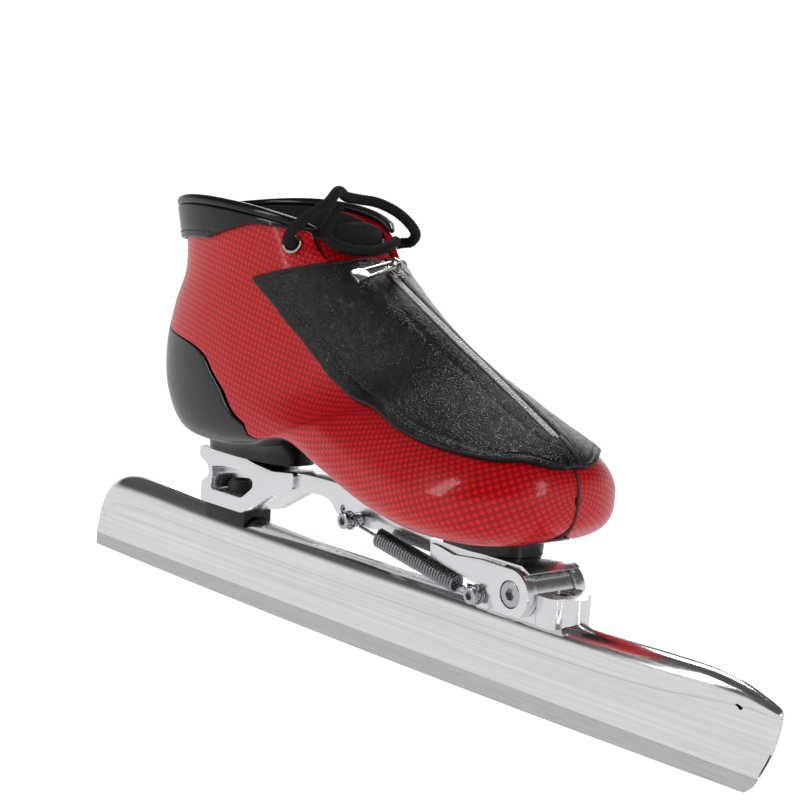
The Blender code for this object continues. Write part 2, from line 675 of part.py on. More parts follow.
def low_edge(s):
    """Angle of the red side's lower edge, where it meets the black carbon cup and sole."""
    return table(s, (
        (3.25, 179.3), (3.5, 148.0), (3.7, 127.0), (4.0, 108.0), (4.4, 97.5), (5.5, 92.0),
        (6.1, 92.5), (7.0, 95.0), (8.0, 112.0), (9.0, 125.0), (11.0, 140.0), (12.7, 153.0),
        (13.4, 161.0), (14.1, 169.0), (14.7, 179.3),
    ))


def throat_edge(s):
    """Half angle of the lacing throat, closing to the seam over the toes."""
    return table(s, ((0.6, 40.0), (1.3, 33.0), (6.0, 24.0), (11.0, 12.0), (12.6, 0.5)))


ROWS = [0.02, 0.6, 1.2, 1.8, 2.4, 3.25, 3.5, 3.7, 4.0, 4.4, 4.9, 5.5, 6.1, 7.0, 8.0,
        9.0, 10.0, 11.0, 12.0, 12.7, 13.4, 14.1, 14.7, 15.3, 15.8, 16.3, 16.8]


def uppers():
    """Red coated side panels, sewn together over the toes and down the heel."""
    for name, side in (("upper_near", -1.0), ("upper_far", 1.0)):
        bm = bmesh.new()

        def span(s, side=side):
            ends = (side * throat_edge(s), side * low_edge(s))
            return min(ends), max(ends)

        skin_patch(bm, ROWS, span, 0.0, -SHELL_THICK, 10)
        mesh_object(name, bm, red_weave)


def carbon_base():
    """Heel cup and sole moulded in one piece of black carbon."""
    bm = bmesh.new()
    rows = [s for s in ROWS if 3.3 < s < 14.5]
    skin_patch(bm, rows, lambda s: (low_edge(s) + 1.9, 358.1 - low_edge(s)), 0.0, -SHELL_THICK, 12)
    mesh_object("carbon_base", bm, carbon)


def mounting_blocks():
    """Two carbon blocks under the boot, shaped to its sole and drilled for the bolts."""
    form = bmesh.new()
    rows = [s * LAST / 40.0 for s in range(0, 40)] + [LAST - 0.02]
    loft(form, [[boot_point(s, a * 360.0 / 28, GAP) for a in range(28)] for s in rows])
    form_obj = mesh_object("sole_form", form, carbon)
    form_obj.hide_render = True
    form_obj.display_type = "WIRE"
    heel = [(-112.0, -13.0), (-104.0, -20.0), (-80.0, -21.0), (-58.0, -16.0), (-50.0, -8.0)]
    ball = [(48.0, -13.0), (54.0, -20.0), (74.0, -22.0), (86.0, -16.0), (91.0, -8.0)]
    for name, plan, low, high, bolts in (
        ("heel_mount", heel, HEEL_TOP + GAP, 84.0, HEEL_BOLTS),
        ("ball_mount", ball, PLATE_TOP + GAP, 76.0, BALL_BOLTS),
    ):
        outline = plan + [(x, -y) for x, y in reversed(plan)]
        bm = bmesh.new()
        loft(bm, [[Vector((x, y * flare, z)) for x, y in outline] for z, flare in ((low, 0.72), (high, 1.1))])
        block = mesh_object(name, bm, carbon)
        trim = block.modifiers.new("sole_form", "BOOLEAN")
        trim.operation = "DIFFERENCE"
        trim.solver = "EXACT"
        trim.object = form_obj
        bores = bmesh.new()
        for x, y in bolts:
            turned(bores, ((low - 5.0, 2.8), (low + 6.5, 2.8)), (x, y, 0), (0, 0, 1), 12)
        cut(block, bores, name + "_bores")


def cover_edge(s):
    """Half angle of the leather instep cover's lower edge."""
    return table(s, (
        (0.7, 8.0), (0.95, 29.0), (1.5, 53.0), (2.1, 77.0), (3.1, 66.0), (4.4, 57.5), (5.4, 54.5),
        (6.5, 54.0), (8.0, 56.5), (9.0, 57.5), (10.2, 57.0), (11.1, 54.0), (12.0, 50.5), (13.6, 46.0),
        (14.9, 34.0), (15.3, 28.0), (15.6, 16.0),
    ))


def instep_cover():
    """Leather halves over the laces, joined by a zip down the middle."""
    rows = [0.7, 0.82, 0.95, 1.2, 1.5, 1.8, 2.1, 2.6] + [s for s in ROWS if 3.2 < s < 15.0]
    rows += [15.3, 15.6]
    for name, side in (("cover_near", -1.0), ("cover_far", 1.0)):
        bm = bmesh.new()

        def span(s, side=side):
            gap = ZIP_GAP if s < ZIP_END else SEAM_GAP
            ends = (side * side_angle(s, gap), side * cover_edge(s))
            return min(ends), max(ends)

        skin_patch(bm, rows, span, COVER_GAP + COVER_THICK, COVER_GAP, 8)
        mesh_object(name, bm, leather)
    chain = bmesh.new()
    zip_rows = [s for s in rows if s < ZIP_END - 0.2]
    skin_patch(chain, zip_rows, zip_span, ZIP_TOP, COVER_GAP, 1)
    mesh_object("zip_chain", chain, zip_silver)


def side_angle(s, width):
    """Angle at which the skin lies a given distance to one side of its top line."""
    half, power = station(s)[4], station(s)[6]
    return math.degrees(math.asin((width / half) ** (power / 2.0)))


def zip_span(s):
    """Angles of the zip chain's two edges."""
    edge = side_angle(s, ZIP_HALF)
    return -edge, edge



# ---------------------------------------------------------------- zip slider

def zip_frame():
    """Axes on the zip: X down towards the toes, Y across, Z out of the boot."""
    low, high = boot_skin(13.0, 0.0), boot_skin(3.0, 0.0)
    along = (low - high).normalized()
    across = Vector((0.0, 0.0, 1.0)).cross(along).normalized()
    out = along.cross(across)
    place = high + along * (SLIDER_X - high.x) / along.x + out * SLIDER_RISE
    return Matrix.Translation(place) @ Matrix((along, across, out)).transposed().to_4x4()



def zip_slider():
    """Slider with its bail, and the framed pull tab that hangs on it."""
    frame = zip_frame()
    zip_pivot = pivot("zip_pivot", frame @ Vector((0.0, 0.0, BAIL_UP)))
    bm = bmesh.new()
    outline = [(-4.5, 0.0), (4.0, 0.0), (4.6, 0.8), (3.8, 2.2), (-3.8, 2.2), (-4.6, 1.2)]
    prism(bm, outline, -2.7, 2.7)
    bmesh.ops.transform(bm, matrix=frame, verts=bm.verts)
    slider = mesh_object("zip_slider", bm, bolt_steel)
    bail = bmesh.new()
    staple = [(-3.6, 1.8), (-3.6, 5.2), (3.6, 5.2), (3.6, 1.8), (2.6, 1.8), (2.6, 4.0), (-2.6, 4.0),
              (-2.6, 1.8)]
    prism(bail, staple, -0.6, 0.6)
    bmesh.ops.transform(bail, matrix=frame, verts=bail.verts)
    join(slider, bail, "slider_bail")
    drop = math.radians(PULL_DROP)
    swing = Matrix.Translation((0, 0, BAIL_UP)) @ Matrix.Rotation(drop, 4, "X")
    tab = bmesh.new()
    ring_solid(tab, ((1.15, -1.6), (2.0, -1.6), (2.0, 1.6), (1.15, 1.6)), (0, 0, 0), (1, 0, 0), 16)
    bmesh.ops.transform(tab, matrix=frame @ swing, verts=tab.verts)
    pull = mesh_object("zip_pull", tab, bolt_steel, zip_pivot)
    for label, outline, low, high in (
        ("pull_frame", [(-2.2, -1.7), (2.2, -1.7), (3.2, -PULL_LENGTH), (-3.2, -PULL_LENGTH)], -0.6, 0.6),
        ("pull_block", [(-3.4, -15.5), (3.4, -15.5), (3.6, -PULL_LENGTH - 0.4),
                        (-3.6, -PULL_LENGTH - 0.4)], -0.9, 0.9),
    ):
        plate = bmesh.new()
        loft(plate, [[Vector((x, y, z)) for x, y in outline] for z in (low, high)])
        bmesh.ops.transform(plate, matrix=frame @ swing, verts=plate.verts)
        join(pull, plate, label)
    window = bmesh.new()
    hole = [(-1.4, -3.4), (1.4, -3.4), (2.1, -14.0), (-2.1, -14.0)]
    loft(window, [[Vector((x, y, z)) for x, y in hole] for z in (-2.0, 2.0)])
    bmesh.ops.transform(window, matrix=frame @ swing, verts=window.verts)
    cut(pull, window, "pull_window")


# ---------------------------------------------------------------- lacing

# the tied lace: out of the near eyelet, up into a loop, over the tongue and into the far eyelet
LACE_ROUTE = (
    (-35.3, -25.0, 167.8), (-33.8, -28.3, 168.6), (-32.4, -31.6, 169.7), (-28.6, -32.0, 174.8),
    (-25.4, -26.4, 180.6),
    (-24.6, -18.0, 186.0), (-27.5, -11.5, 190.2), (-31.5, -6.0, 190.6), (-35.5, 0.5, 188.4),
    (-37.0, 8.5, 187.4), (-34.0, 16.5, 186.4), (-28.5, 22.5, 183.2), (-24.0, 26.8, 178.5),
    (-24.4, 31.0, 174.0), (-28.6, 32.4, 170.4), (-32.4, 30.6, 169.5), (-33.8, 27.3, 168.6),
    (-35.3, 24.0, 167.8),
)
# the strand that hangs across the throat in front of the tongue
STRAND_ROUTE = (
    (-30.5, -7.0, 184.4), (-27.0, -13.5, 180.0), (-23.5, -18.8, 174.6), (-20.0, -18.4, 170.4),
    (-16.0, -13.0, 168.0), (-13.5, -5.0, 167.4), (-14.0, 4.0, 168.4), (-17.0, 11.5, 170.2),
    (-20.5, 16.6, 171.2),
)


def lacing():
    """Two eyelets, the tied lace between them and the strand across the throat."""
    station_at, angle = EYELET
    corners = ((2.75, -2.9), (3.05, -2.9), (3.05, 0.9), (4.3, 0.9), (4.3, 1.3), (3.8, 1.8), (2.75, 1.8))
    for name, side in (("eyelet_near", -1.0), ("eyelet_far", 1.0)):
        spot = boot_point(station_at, side * angle)
        facing = boot_point(station_at, side * angle, 1.0) - spot
        bm = bmesh.new()
        ring_solid(bm, corners, spot, facing, 16)
        mesh_object(name, bm, bolt_steel)
        bore = bmesh.new()
        turned(bore, ((-6.0, 3.4), (4.0, 3.4)), spot, facing, 12)
        cut(bpy.data.objects["upper_" + name[7:]], bore, name + "_bore")
    cord("lace", smooth_route(LACE_ROUTE, 2), LACE_R, lace_weave)
    cord("lace_strand", smooth_route(STRAND_ROUTE, 2), LACE_R, lace_weave)


def collar():
    """Patent leather band round the ankle, its rolled top edge and the heel gusset."""
    bm = bmesh.new()
    skin_patch(bm, [0.04, 0.12, 0.22, 0.38, 0.95], band_span, COVER_GAP + 1.4, COVER_GAP + 0.3, 32)
    mesh_object("collar_band", bm, patent)
    ring = [boot_point(0.0, a, -0.6) + Vector((0, 0, 2.2)) for a in spread(36.0, 324.0, 24)]
    cord("collar_piping", ring, 1.6, patent)
    gusset = bmesh.new()
    skin_patch(gusset, [1.05, 1.6, 2.2, 2.8, 3.2], lambda s: (176.5, 183.5), SKIN_GAP + 0.9, SKIN_GAP, 2)
    mesh_object("heel_gusset", gusset, leather)


def band_span(s):
    """The band narrows towards its front ends, above the eyelets."""
    front = table(s, ((0.12, 45.0), (0.22, 56.0), (0.38, 74.0), (0.95, 104.0)))
    return front, 360.0 - front


def inside_boot():
    """Padded ankle lining, tongue and footbed."""
    inner = -SHELL_THICK - SKIN_GAP
    bm = bmesh.new()
    rows = [s for s in ROWS if s < 6.1]
    skin_patch(bm, rows, lambda s: (46.0, 314.0), inner - 1.4, inner - LINER_THICK - 0.4, 20)
    mesh_object("ankle_lining", bm, lining)
    tongue = bmesh.new()
    skin_patch(tongue, [0.0, 0.8, 1.6, 2.6, 3.8, 5.2, 7.0, 9.0], lambda s: (-38.0, 38.0), inner,
               inner - 4.0, 10)
    mesh_object("tongue", tongue, red_weave)
    tip = bmesh.new()
    rows = []
    for up in (0.6, 5.0, 9.5, 13.0):
        row = []
        for a in spread(-34.0, 34.0, 10):
            fade = 1.0 - 0.75 * (abs(a) / 34.0) ** 2 * up / 13.0
            rise = Vector((-0.35, 0.0, 0.94)) * up * fade
            row.append((boot_point(0.0, a, inner - 0.2) + rise, boot_point(0.0, a, inner - 3.8) + rise))
        rows.append(row)
    grid_solid(tip, rows)
    mesh_object("tongue_tip", tip, lining)
    bed = bmesh.new()
    rows = [6.6, 7.4, 8.2, 9.0, 10.0, 11.0, 12.0, 13.0, 14.0, 14.8]
    skin_patch(bed, rows, lambda s: (146.0, 214.0), inner - 0.8, inner - 3.0, 6)
    mesh_object("footbed", bed, lining)


def grid_solid(bm, rows):
    """Close a grid of (outer, inner) point pairs into a sheet with thickness."""
    top = [[bm.verts.new(pair[0]) for pair in row] for row in rows]
    under = [[bm.verts.new(pair[1]) for pair in row] for row in rows]
    last_row, last_col = len(rows) - 1, len(rows[0]) - 1
    for i in range(last_row):
        for j in range(last_col):
            bm.faces.new((top[i][j], top[i][j + 1], top[i + 1][j + 1], top[i + 1][j]))
            bm.faces.new((under[i][j], under[i + 1][j], under[i + 1][j + 1], under[i][j + 1]))
        bm.faces.new((top[i][0], top[i + 1][0], under[i + 1][0], under[i][0]))
        bm.faces.new((top[i + 1][-1], top[i][-1], under[i][-1], under[i + 1][-1]))
    for j in range(last_col):
        bm.faces.new((top[0][j + 1], top[0][j], under[0][j], under[0][j + 1]))
        bm.faces.new((top[-1][j], top[-1][j + 1], under[-1][j + 1], under[-1][j]))


runner()
blade_tube()
hinge_base()
base_screws()
heel_block()
bridge()
hinge_hardware()
boot_bolts()
spring()
uppers()
carbon_base()
mounting_blocks()
instep_cover()
zip_slider()
collar()
inside_boot()
lacing()
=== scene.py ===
"""Looks of a long-track clap speed skate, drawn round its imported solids.

Sizes and places are millimetres in the frame's own axes until mesh_piece() makes them metres.
"""
import functools
import math

import bmesh
import bpy
from mathutils import Matrix, Vector, noise


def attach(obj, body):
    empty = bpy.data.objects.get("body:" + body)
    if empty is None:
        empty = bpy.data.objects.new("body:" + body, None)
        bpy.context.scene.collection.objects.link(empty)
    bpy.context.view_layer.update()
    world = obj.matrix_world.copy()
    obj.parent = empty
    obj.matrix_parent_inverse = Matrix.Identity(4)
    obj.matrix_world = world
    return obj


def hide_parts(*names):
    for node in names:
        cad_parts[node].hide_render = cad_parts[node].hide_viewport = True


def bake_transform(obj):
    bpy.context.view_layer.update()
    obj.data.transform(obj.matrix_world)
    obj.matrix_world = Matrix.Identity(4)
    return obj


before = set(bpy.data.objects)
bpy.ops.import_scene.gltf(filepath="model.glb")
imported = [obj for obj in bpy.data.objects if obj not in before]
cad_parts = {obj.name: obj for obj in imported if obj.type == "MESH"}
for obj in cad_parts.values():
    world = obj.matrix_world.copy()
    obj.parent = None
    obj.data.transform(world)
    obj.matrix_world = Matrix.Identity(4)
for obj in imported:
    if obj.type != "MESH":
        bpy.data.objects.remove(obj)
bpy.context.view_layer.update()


# ================================================================ studio
# A pale sweep under large soft boxes, as for a catalogue picture. The camera stands ahead of the
# skate's near side at about boot height, with a short telephoto lens.

MM = 0.001
CAMERA_TURN, CAMERA_DOWN, CAMERA_LEAN = (math.radians(a) for a in (48.67, 8.04, 3.87))
AIMED_AT = Vector((8.0, 0.0, 108.5))
CAMERA_AWAY = 778.0
# name, place in metres, size in metres, watts
SOFT_BOXES = (
    ("left_box", (-0.55, -1.15, 0.85), (0.3, 1.0), 6.5),
    ("front_box", (1.3, 0.1, 0.6), (0.25, 0.9), 4.0),
    ("top_box", (-0.55, 0.6, 1.15), (0.7, 0.3), 6.0),
    ("back_box", (-0.9, 1.0, 0.5), (0.9, 0.5), 4.0),
)


def place_camera():
    """Camera on a tripod, level with the boot and leaning a little to one side."""
    turn, down, lean = CAMERA_TURN, CAMERA_DOWN, CAMERA_LEAN
    forward = Vector((-math.sin(turn) * math.cos(down), math.cos(turn) * math.cos(down), -math.sin(down)))
    level = Vector((math.cos(turn), math.sin(turn), 0.0))
    upright = level.cross(forward)
    right = level * math.cos(lean) + upright * math.sin(lean)
    top = upright * math.cos(lean) - level * math.sin(lean)
    data = bpy.data.cameras.new("camera")
    data.sensor_width = 36.0
    data.lens = 85.62
    data.clip_start = 0.01
    camera = bpy.data.objects.new("camera", data)
    bpy.context.scene.collection.objects.link(camera)
    pose = Matrix((right, top, -forward)).transposed().to_4x4()
    pose.translation = (AIMED_AT - forward * CAMERA_AWAY) * MM
    camera.matrix_world = pose
    bpy.context.scene.camera = camera


def linear(code, alpha=1.0):
    """An sRGB hex colour as the linear values that shaders take."""
    values = [int(code[i:i + 2], 16) / 255.0 for i in (1, 3, 5)]
    return [v / 12.92 if v <= 0.04045 else ((v + 0.055) / 1.055) ** 2.4 for v in values] + [alpha]


def add(tree, kind, inputs=None, **settings):
    """Add a node: inputs by socket name or number, each a plain value or an output to link."""
    new = tree.nodes.new(kind)
    for name, value in settings.items():
        setattr(new, name, value)
    for socket, value in (inputs or {}).items():
        if isinstance(value, bpy.types.NodeSocket):
            tree.links.new(value, new.inputs[socket])
        else:
            new.inputs[socket].default_value = value
    return new


def finish(name, colour, rough, **values):
    """A material with one Principled shader, its plain values set on the shader's own sockets."""
    mat = bpy.data.materials.new(name)
    mat.use_nodes = True
    shader = mat.node_tree.nodes["Principled BSDF"]
    shader.inputs["Base Color"].default_value = linear(colour)
    shader.inputs["Roughness"].default_value = rough
    for socket, value in values.items():
        shader.inputs[socket.replace("_", " ")].default_value = value
    return mat, mat.node_tree, shader


def backdrop(name, corners, faces, mat):
    """A part of the white surround: the camera sees it, but it throws no light on the skate."""
    mesh = bpy.data.meshes.new(name)
    mesh.from_pydata(corners, [], faces)
    mesh.materials.append(mat)
    piece = bpy.data.objects.new(name, mesh)
    bpy.context.scene.collection.objects.link(piece)
    piece.visible_diffuse = piece.visible_glossy = piece.visible_transmission = False
    piece.visible_shadow = False


def studio():
    """White floor, white surround, graded air for the reflections, and the soft boxes."""
    # the floor lies under the open blade, whose heel reaches 0.19 m below the closed one
    far, low, high = 9.0, -0.26, 8.0
    paper, _, _ = finish("matte_white_paper", "#808080", 0.9, Emission_Color=linear("#FFFFFF"),
                         Emission_Strength=1.0)
    corners = [(-far, -far, low), (far, -far, low), (far, far, low), (-far, far, low)]
    backdrop("floor", corners, [(0, 1, 2, 3)], paper)
    rim = [(far * 0.99 * math.cos(math.pi * k / 16), far * 0.99 * math.sin(math.pi * k / 16)) for k in range(32)]
    wall = [(x, y, z) for z in (low - 0.5, high) for x, y in rim]
    sides = [(k, (k + 1) % 32, 32 + (k + 1) % 32, 32 + k) for k in range(32)]
    backdrop("surround", wall, sides + [tuple(range(63, 31, -1))], paper)
    world = bpy.data.worlds.new("studio_air")
    bpy.context.scene.world = world
    world.use_nodes = True
    air = world.node_tree
    seen = add(air, "ShaderNodeTexCoord").outputs["Generated"]
    height = add(air, "ShaderNodeSeparateXYZ", {0: seen}).outputs["Z"]
    ramp = add(air, "ShaderNodeValToRGB", {0: height})
    for element, place, grey in zip(ramp.color_ramp.elements, (0.05, 0.32), (0.84, 0.09)):
        element.position = place
        element.color = (grey, grey, grey * 1.01, 1.0)
    air.links.new(ramp.outputs["Color"], air.nodes["Background"].inputs["Color"])
    for name, place, size, power in SOFT_BOXES:
        data = bpy.data.lights.new(name, "AREA")
        data.shape = "RECTANGLE"
        data.size, data.size_y = size
        data.energy = power
        lamp = bpy.data.objects.new(name, data)
        bpy.context.scene.collection.objects.link(lamp)
        lamp.location = place
        lamp.rotation_euler = (Vector((0.0, 0.0, 0.08)) - Vector(place)).to_track_quat("-Z", "Y").to_euler()
    bpy.context.scene.view_settings.view_transform = "Standard"


place_camera()
studio()


# ================================================================ laces
# One round boot lace of braided polyester, 4.6 mm thick and limp. It comes out of the near eyelet,
# makes the loop of its bow over the tongue and goes into the far eyelet; a second strand crosses
# the throat in front of the tongue.

LACE_R = 2.3
PLAIT = 8                    # yarns that run each way round the lace
PLAIT_RISE = 0.8            # depth of the grooves between yarns
LACE_ROUTE = (
    (-35.3, -25.0, 167.8), (-33.8, -28.3, 168.6), (-32.4, -31.6, 169.7), (-28.6, -32.0, 174.8),
    (-25.4, -26.4, 180.6),
    (-24.6, -18.0, 186.0), (-27.5, -11.5, 190.2), (-31.5, -6.0, 190.6), (-35.5, 0.5, 188.4),
    (-37.0, 8.5, 187.4), (-34.0, 16.5, 186.4), (-28.5, 22.5, 183.2), (-24.0, 26.8, 178.5),
    (-24.4, 31.0, 174.0), (-28.6, 32.4, 170.4), (-32.4, 30.6, 169.5), (-33.8, 27.3, 168.6),
    (-35.3, 24.0, 167.8),
)
STRAND_ROUTE = (
    (-30.5, -7.0, 184.4), (-27.0, -13.5, 180.0), (-23.5, -18.8, 174.6), (-20.0, -18.4, 170.4),
    (-16.0, -13.0, 168.0), (-13.5, -5.0, 167.4), (-14.0, 4.0, 168.4), (-17.0, 11.5, 170.2),
    (-20.5, 16.6, 171.2),
)


def spline_at(p0, p1, p2, p3, t):
    """One Catmull-Rom value, for numbers or vectors."""
    return 0.5 * (
        p1 * 2 + (p2 - p0) * t
        + (p0 * 2 - p1 * 5 + p2 * 4 - p3) * t * t
        + (p1 * 3 - p0 - p2 * 3 + p3) * t * t * t
    )


def smooth_route(points, steps):
    """Catmull-Rom points through a given route."""
    route = [Vector(p) for p in points]
    ends = [route[0] * 2 - route[1]] + route + [route[-1] * 2 - route[-2]]
    result = []
    for i in range(1, len(ends) - 2):
        for k in range(steps):
            result.append(spline_at(ends[i - 1], ends[i], ends[i + 1], ends[i + 2], k / steps))
    result.append(route[-1])
    return result


def even_route(points, pitch):
    """The same line with its points a fixed distance apart."""
    reach = [0.0]
    for a, b in zip(points, points[1:]):
        reach.append(reach[-1] + (b - a).length)
    count = max(2, round(reach[-1] / pitch))
    result, k = [], 0
    for i in range(count + 1):
        want = reach[-1] * i / count
        while k < len(reach) - 2 and reach[k + 1] < want:
            k += 1
        result.append(points[k].lerp(points[k + 1], (want - reach[k]) / max(reach[k + 1] - reach[k], 1e-9)))
    return result


def tube(bm, points, sides, radius, shape=None, closed=False):
    """A closed tube along points; shape(turn 0..1, distance) multiplies its radius."""
    layer = bm.verts.layers.float_vector.get("pattern") or bm.verts.layers.float_vector.new("pattern")
    count = len(points)
    rows, travelled, side = [], 0.0, None
    for i, p in enumerate(points):
        before = points[(i - 1) % count] if closed or i else p
        after = points[(i + 1) % count] if closed or i < count - 1 else p
        along = (after - before).normalized()
        if side is None:
            side = along.orthogonal().normalized()
        side = (side - along * side.dot(along)).normalized()
        up = along.cross(side)
        if i:
            travelled += (p - points[i - 1]).length
        r = radius(i / (count - 1)) if callable(radius) else radius
        row = []
        for k in range(sides):
            a = 2.0 * math.pi * k / sides
            scale = shape(k / sides, travelled) if shape else 1.0
            vert = bm.verts.new(p + (side * math.cos(a) + up * math.sin(a)) * r * scale)
            vert[layer] = (travelled, r * a, 0.0)
            row.append(vert)
        rows.append(row)
    if closed:
        rows.append(rows[0])
    for low, high in zip(rows, rows[1:]):
        for k in range(sides):
            n = (k + 1) % sides
            bm.faces.new((low[k], low[n], high[n], high[k]))
    if not closed:
        bm.faces.new(list(reversed(rows[0])))
        bm.faces.new(rows[-1])


def mesh_piece(name, bm, mat, body, replaced=(), smooth=35.0):
    """Turn a bmesh drawn in millimetres into a piece of the skate."""
    bmesh.ops.scale(bm, vec=(MM, MM, MM), verts=bm.verts)
    bmesh.ops.recalc_face_normals(bm, faces=bm.faces)
    mesh = bpy.data.meshes.new(name)
    bm.to_mesh(mesh)
    bm.free()
    mesh.materials.append(mat)
    if smooth:
        mesh.shade_smooth()
        if smooth < 180.0:
            mesh.set_sharp_from_angle(angle=math.radians(smooth))
    piece = bpy.data.objects.new(name, mesh)
    bpy.context.scene.collection.objects.link(piece)
    if body:
        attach(piece, body)
    if replaced:
        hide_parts(*replaced)
    return piece


def plaited(turn, travelled):
    """Radius of a braid: two sets of yarns wind opposite ways, each over one and under one."""
    climb = travelled / (2.0 * math.pi * LACE_R) * 1.15
    a, b = PLAIT * (turn + climb), PLAIT * (turn - climb)
    over = (math.floor(a) + math.floor(b)) % 2 == 0
    yarn = a % 1.0 if over else b % 1.0
    return 1.0 - PLAIT_RISE / LACE_R * (1.0 - math.sin(math.pi * yarn) ** 0.7)


# Dyed polyester braid: matt black, with the fine fibres of each yarn as a dusty sheen. The fibres
# are drawn 0.25 mm wide so that they show.
braid, tree, shader = finish("braided_polyester_black", "#0C0C0D", 0.85, Sheen_Weight=0.12,
                             Sheen_Roughness=0.5, Sheen_Tint=linear("#5C5C62"))
laid = add(tree, "ShaderNodeAttribute", attribute_name="pattern").outputs["Vector"]
fibre = add(tree, "ShaderNodeTexNoise", {"Vector": laid, "Scale": 2.6, "Detail": 3.0}).outputs["Fac"]
shade = add(tree, "ShaderNodeMix", {0: fibre, 6: linear("#060607"), 7: linear("#17171A")}, data_type="RGBA")
tree.links.new(shade.outputs[2], shader.inputs["Base Color"])
bump = add(tree, "ShaderNodeBump", {"Height": fibre, "Distance": 0.15 * MM, "Strength": 0.6})
tree.links.new(bump.outputs["Normal"], shader.inputs["Normal"])

for lace_name, lace_route in (("lace", LACE_ROUTE), ("lace_strand", STRAND_ROUTE)):
    bm = bmesh.new()
    tube(bm, even_route(smooth_route(lace_route, 12), 0.35), 48, LACE_R, plaited)
    lace = mesh_piece(lace_name + "_braid", bm, braid, "boot", [lace_name], 180.0)
    run = even_route(smooth_route(lace_route, 12), 2.0)


# ================================================================ runner
# The ice edge: a strip of hardened tool steel 1.2 mm thick, ground flat on both flanks and
# soldered into the slot of the tube above it.

def repaint(mat, *names):
    """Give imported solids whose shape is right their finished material."""
    for name in names:
        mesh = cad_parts[name].data
        mesh.materials.clear()
        mesh.materials.append(mat)


def streaks(tree, per_metre, detail=3.0):
    """Noise in object space with so many features to the metre along X, Y and Z."""
    spot = add(tree, "ShaderNodeTexCoord").outputs["Object"]
    spot = add(tree, "ShaderNodeVectorMath", {0: spot, 1: per_metre}, operation="MULTIPLY").outputs[0]
    return add(tree, "ShaderNodeTexNoise", {"Vector": spot, "Scale": 1.0, "Detail": detail}).outputs["Fac"]


# Hardened tool steel, surface ground: grey and a little soft, with long fine scratches that run
# along the blade. The scratches are drawn 0.5 mm wide so that they show.
ground_steel, tree, shader = finish("ground_tool_steel", "#9A9A9D", 0.36, Metallic=1.0)
scratches = streaks(tree, (60.0, 900.0, 2200.0), 6.0)
spread = add(tree, "ShaderNodeMapRange", {"Value": scratches, "From Min": 0.3, "From Max": 0.7,
                                          "To Min": 0.26, "To Max": 0.5})
tree.links.new(spread.outputs["Result"], shader.inputs["Roughness"])
shade = add(tree, "ShaderNodeMix", {0: scratches, 6: linear("#A2A2A2"), 7: linear("#DADADA")},
            data_type="RGBA")
tree.links.new(shade.outputs[2], shader.inputs["Base Color"])
bump = add(tree, "ShaderNodeBump", {"Height": scratches, "Distance": 0.03 * MM, "Strength": 0.6})
tree.links.new(bump.outputs["Normal"], shader.inputs["Normal"])
repaint(ground_steel, "runner")


# ================================================================ blade tube
# A steel tube drawn to a teardrop: a round top of 16 mm and two skirts that close on the runner.
# Both ends are pinched and brazed shut, and the whole is nickel plated and buffed to a mirror.

# x, top z, radius of the round top, half width of the skirt's lower edge
TUBE_STATIONS = (
    (-214.6, 9.5, 0.8, 1.0), (-213.4, 12.0, 1.3, 1.2), (-211.0, 17.0, 2.1, 1.4), (-208.6, 22.6, 3.0, 1.6),
    (-205.5, 28.0, 3.8, 1.7), (-200.0, 34.5, 5.5, 1.9), (-193.0, 39.2, 7.1, 2.0), (-183.0, 42.0, 8.0, 2.0),
    (-160.0, 42.4, 8.0, 2.0), (-100.0, 41.0, 8.0, 2.0), (0.0, 40.6, 8.0, 2.0), (60.0, 40.9, 8.0, 2.0),
    (125.0, 41.2, 8.0, 2.0), (160.0, 41.8, 7.5, 2.0), (180.0, 41.6, 6.3, 2.0), (192.0, 40.0, 4.9, 2.0),
    (200.0, 38.2, 3.6, 1.8), (204.5, 36.8, 3.0, 1.6),
)
# the toe's blunt end: x, bottom z, top z, radius, half width of the lower edge
TUBE_NOSE = (
    (206.0, 11.0, 36.4, 2.85, 1.55), (207.5, 14.0, 35.9, 2.65, 1.5), (209.0, 17.5, 35.3, 2.4, 1.4),
    (210.3, 21.5, 34.8, 2.15, 1.3), (211.3, 25.5, 34.2, 1.8, 1.2), (212.0, 28.8, 33.6, 1.3, 0.95),
    (212.3, 30.8, 32.9, 0.8, 0.6),
)
SKIRT_BOTTOM = 8.0
SKIRT_STEP = 0.4             # the round top stands this much proud of the skirt
SLOT_TOP = 17.0
NOSE_HOLE = (195.8, 31.3, 1.2)   # x, z and radius of the drain hole near the toe


def arc(cx, cz, radius, start, end, steps):
    """Points on a circle from one angle to another, both in degrees."""
    turns = [math.radians(start + (end - start) * i / steps) for i in range(steps + 1)]
    return [(cx + radius * math.cos(a), cz + radius * math.sin(a)) for a in turns]


def loft(bm, rings):
    """Skin a list of equal rings and close both ends."""
    rows = [[bm.verts.new(p) for p in ring] for ring in rings]
    count = len(rows[0])
    for low, high in zip(rows, rows[1:]):
        for k in range(count):
            n = (k + 1) % count
            bm.faces.new((low[k], low[n], high[n], high[k]))
    bm.faces.new(list(reversed(rows[0])))
    bm.faces.new(rows[-1])


def turned(bm, profile, place, direction, sides=24):
    """A closed turned solid: profile rows of (distance along, radius), ends included."""
    along = Vector(direction).normalized()
    turn = Vector((0.0, 0.0, 1.0)).rotation_difference(along).to_matrix()
    rings = []
    for distance, radius in profile:
        ring = [(radius * math.cos(2.0 * math.pi * k / sides), radius * math.sin(2.0 * math.pi * k / sides))
                for k in range(sides)]
        rings.append([turn @ Vector((x, y, distance)) + Vector(place) for x, y in ring])
    loft(bm, rings)


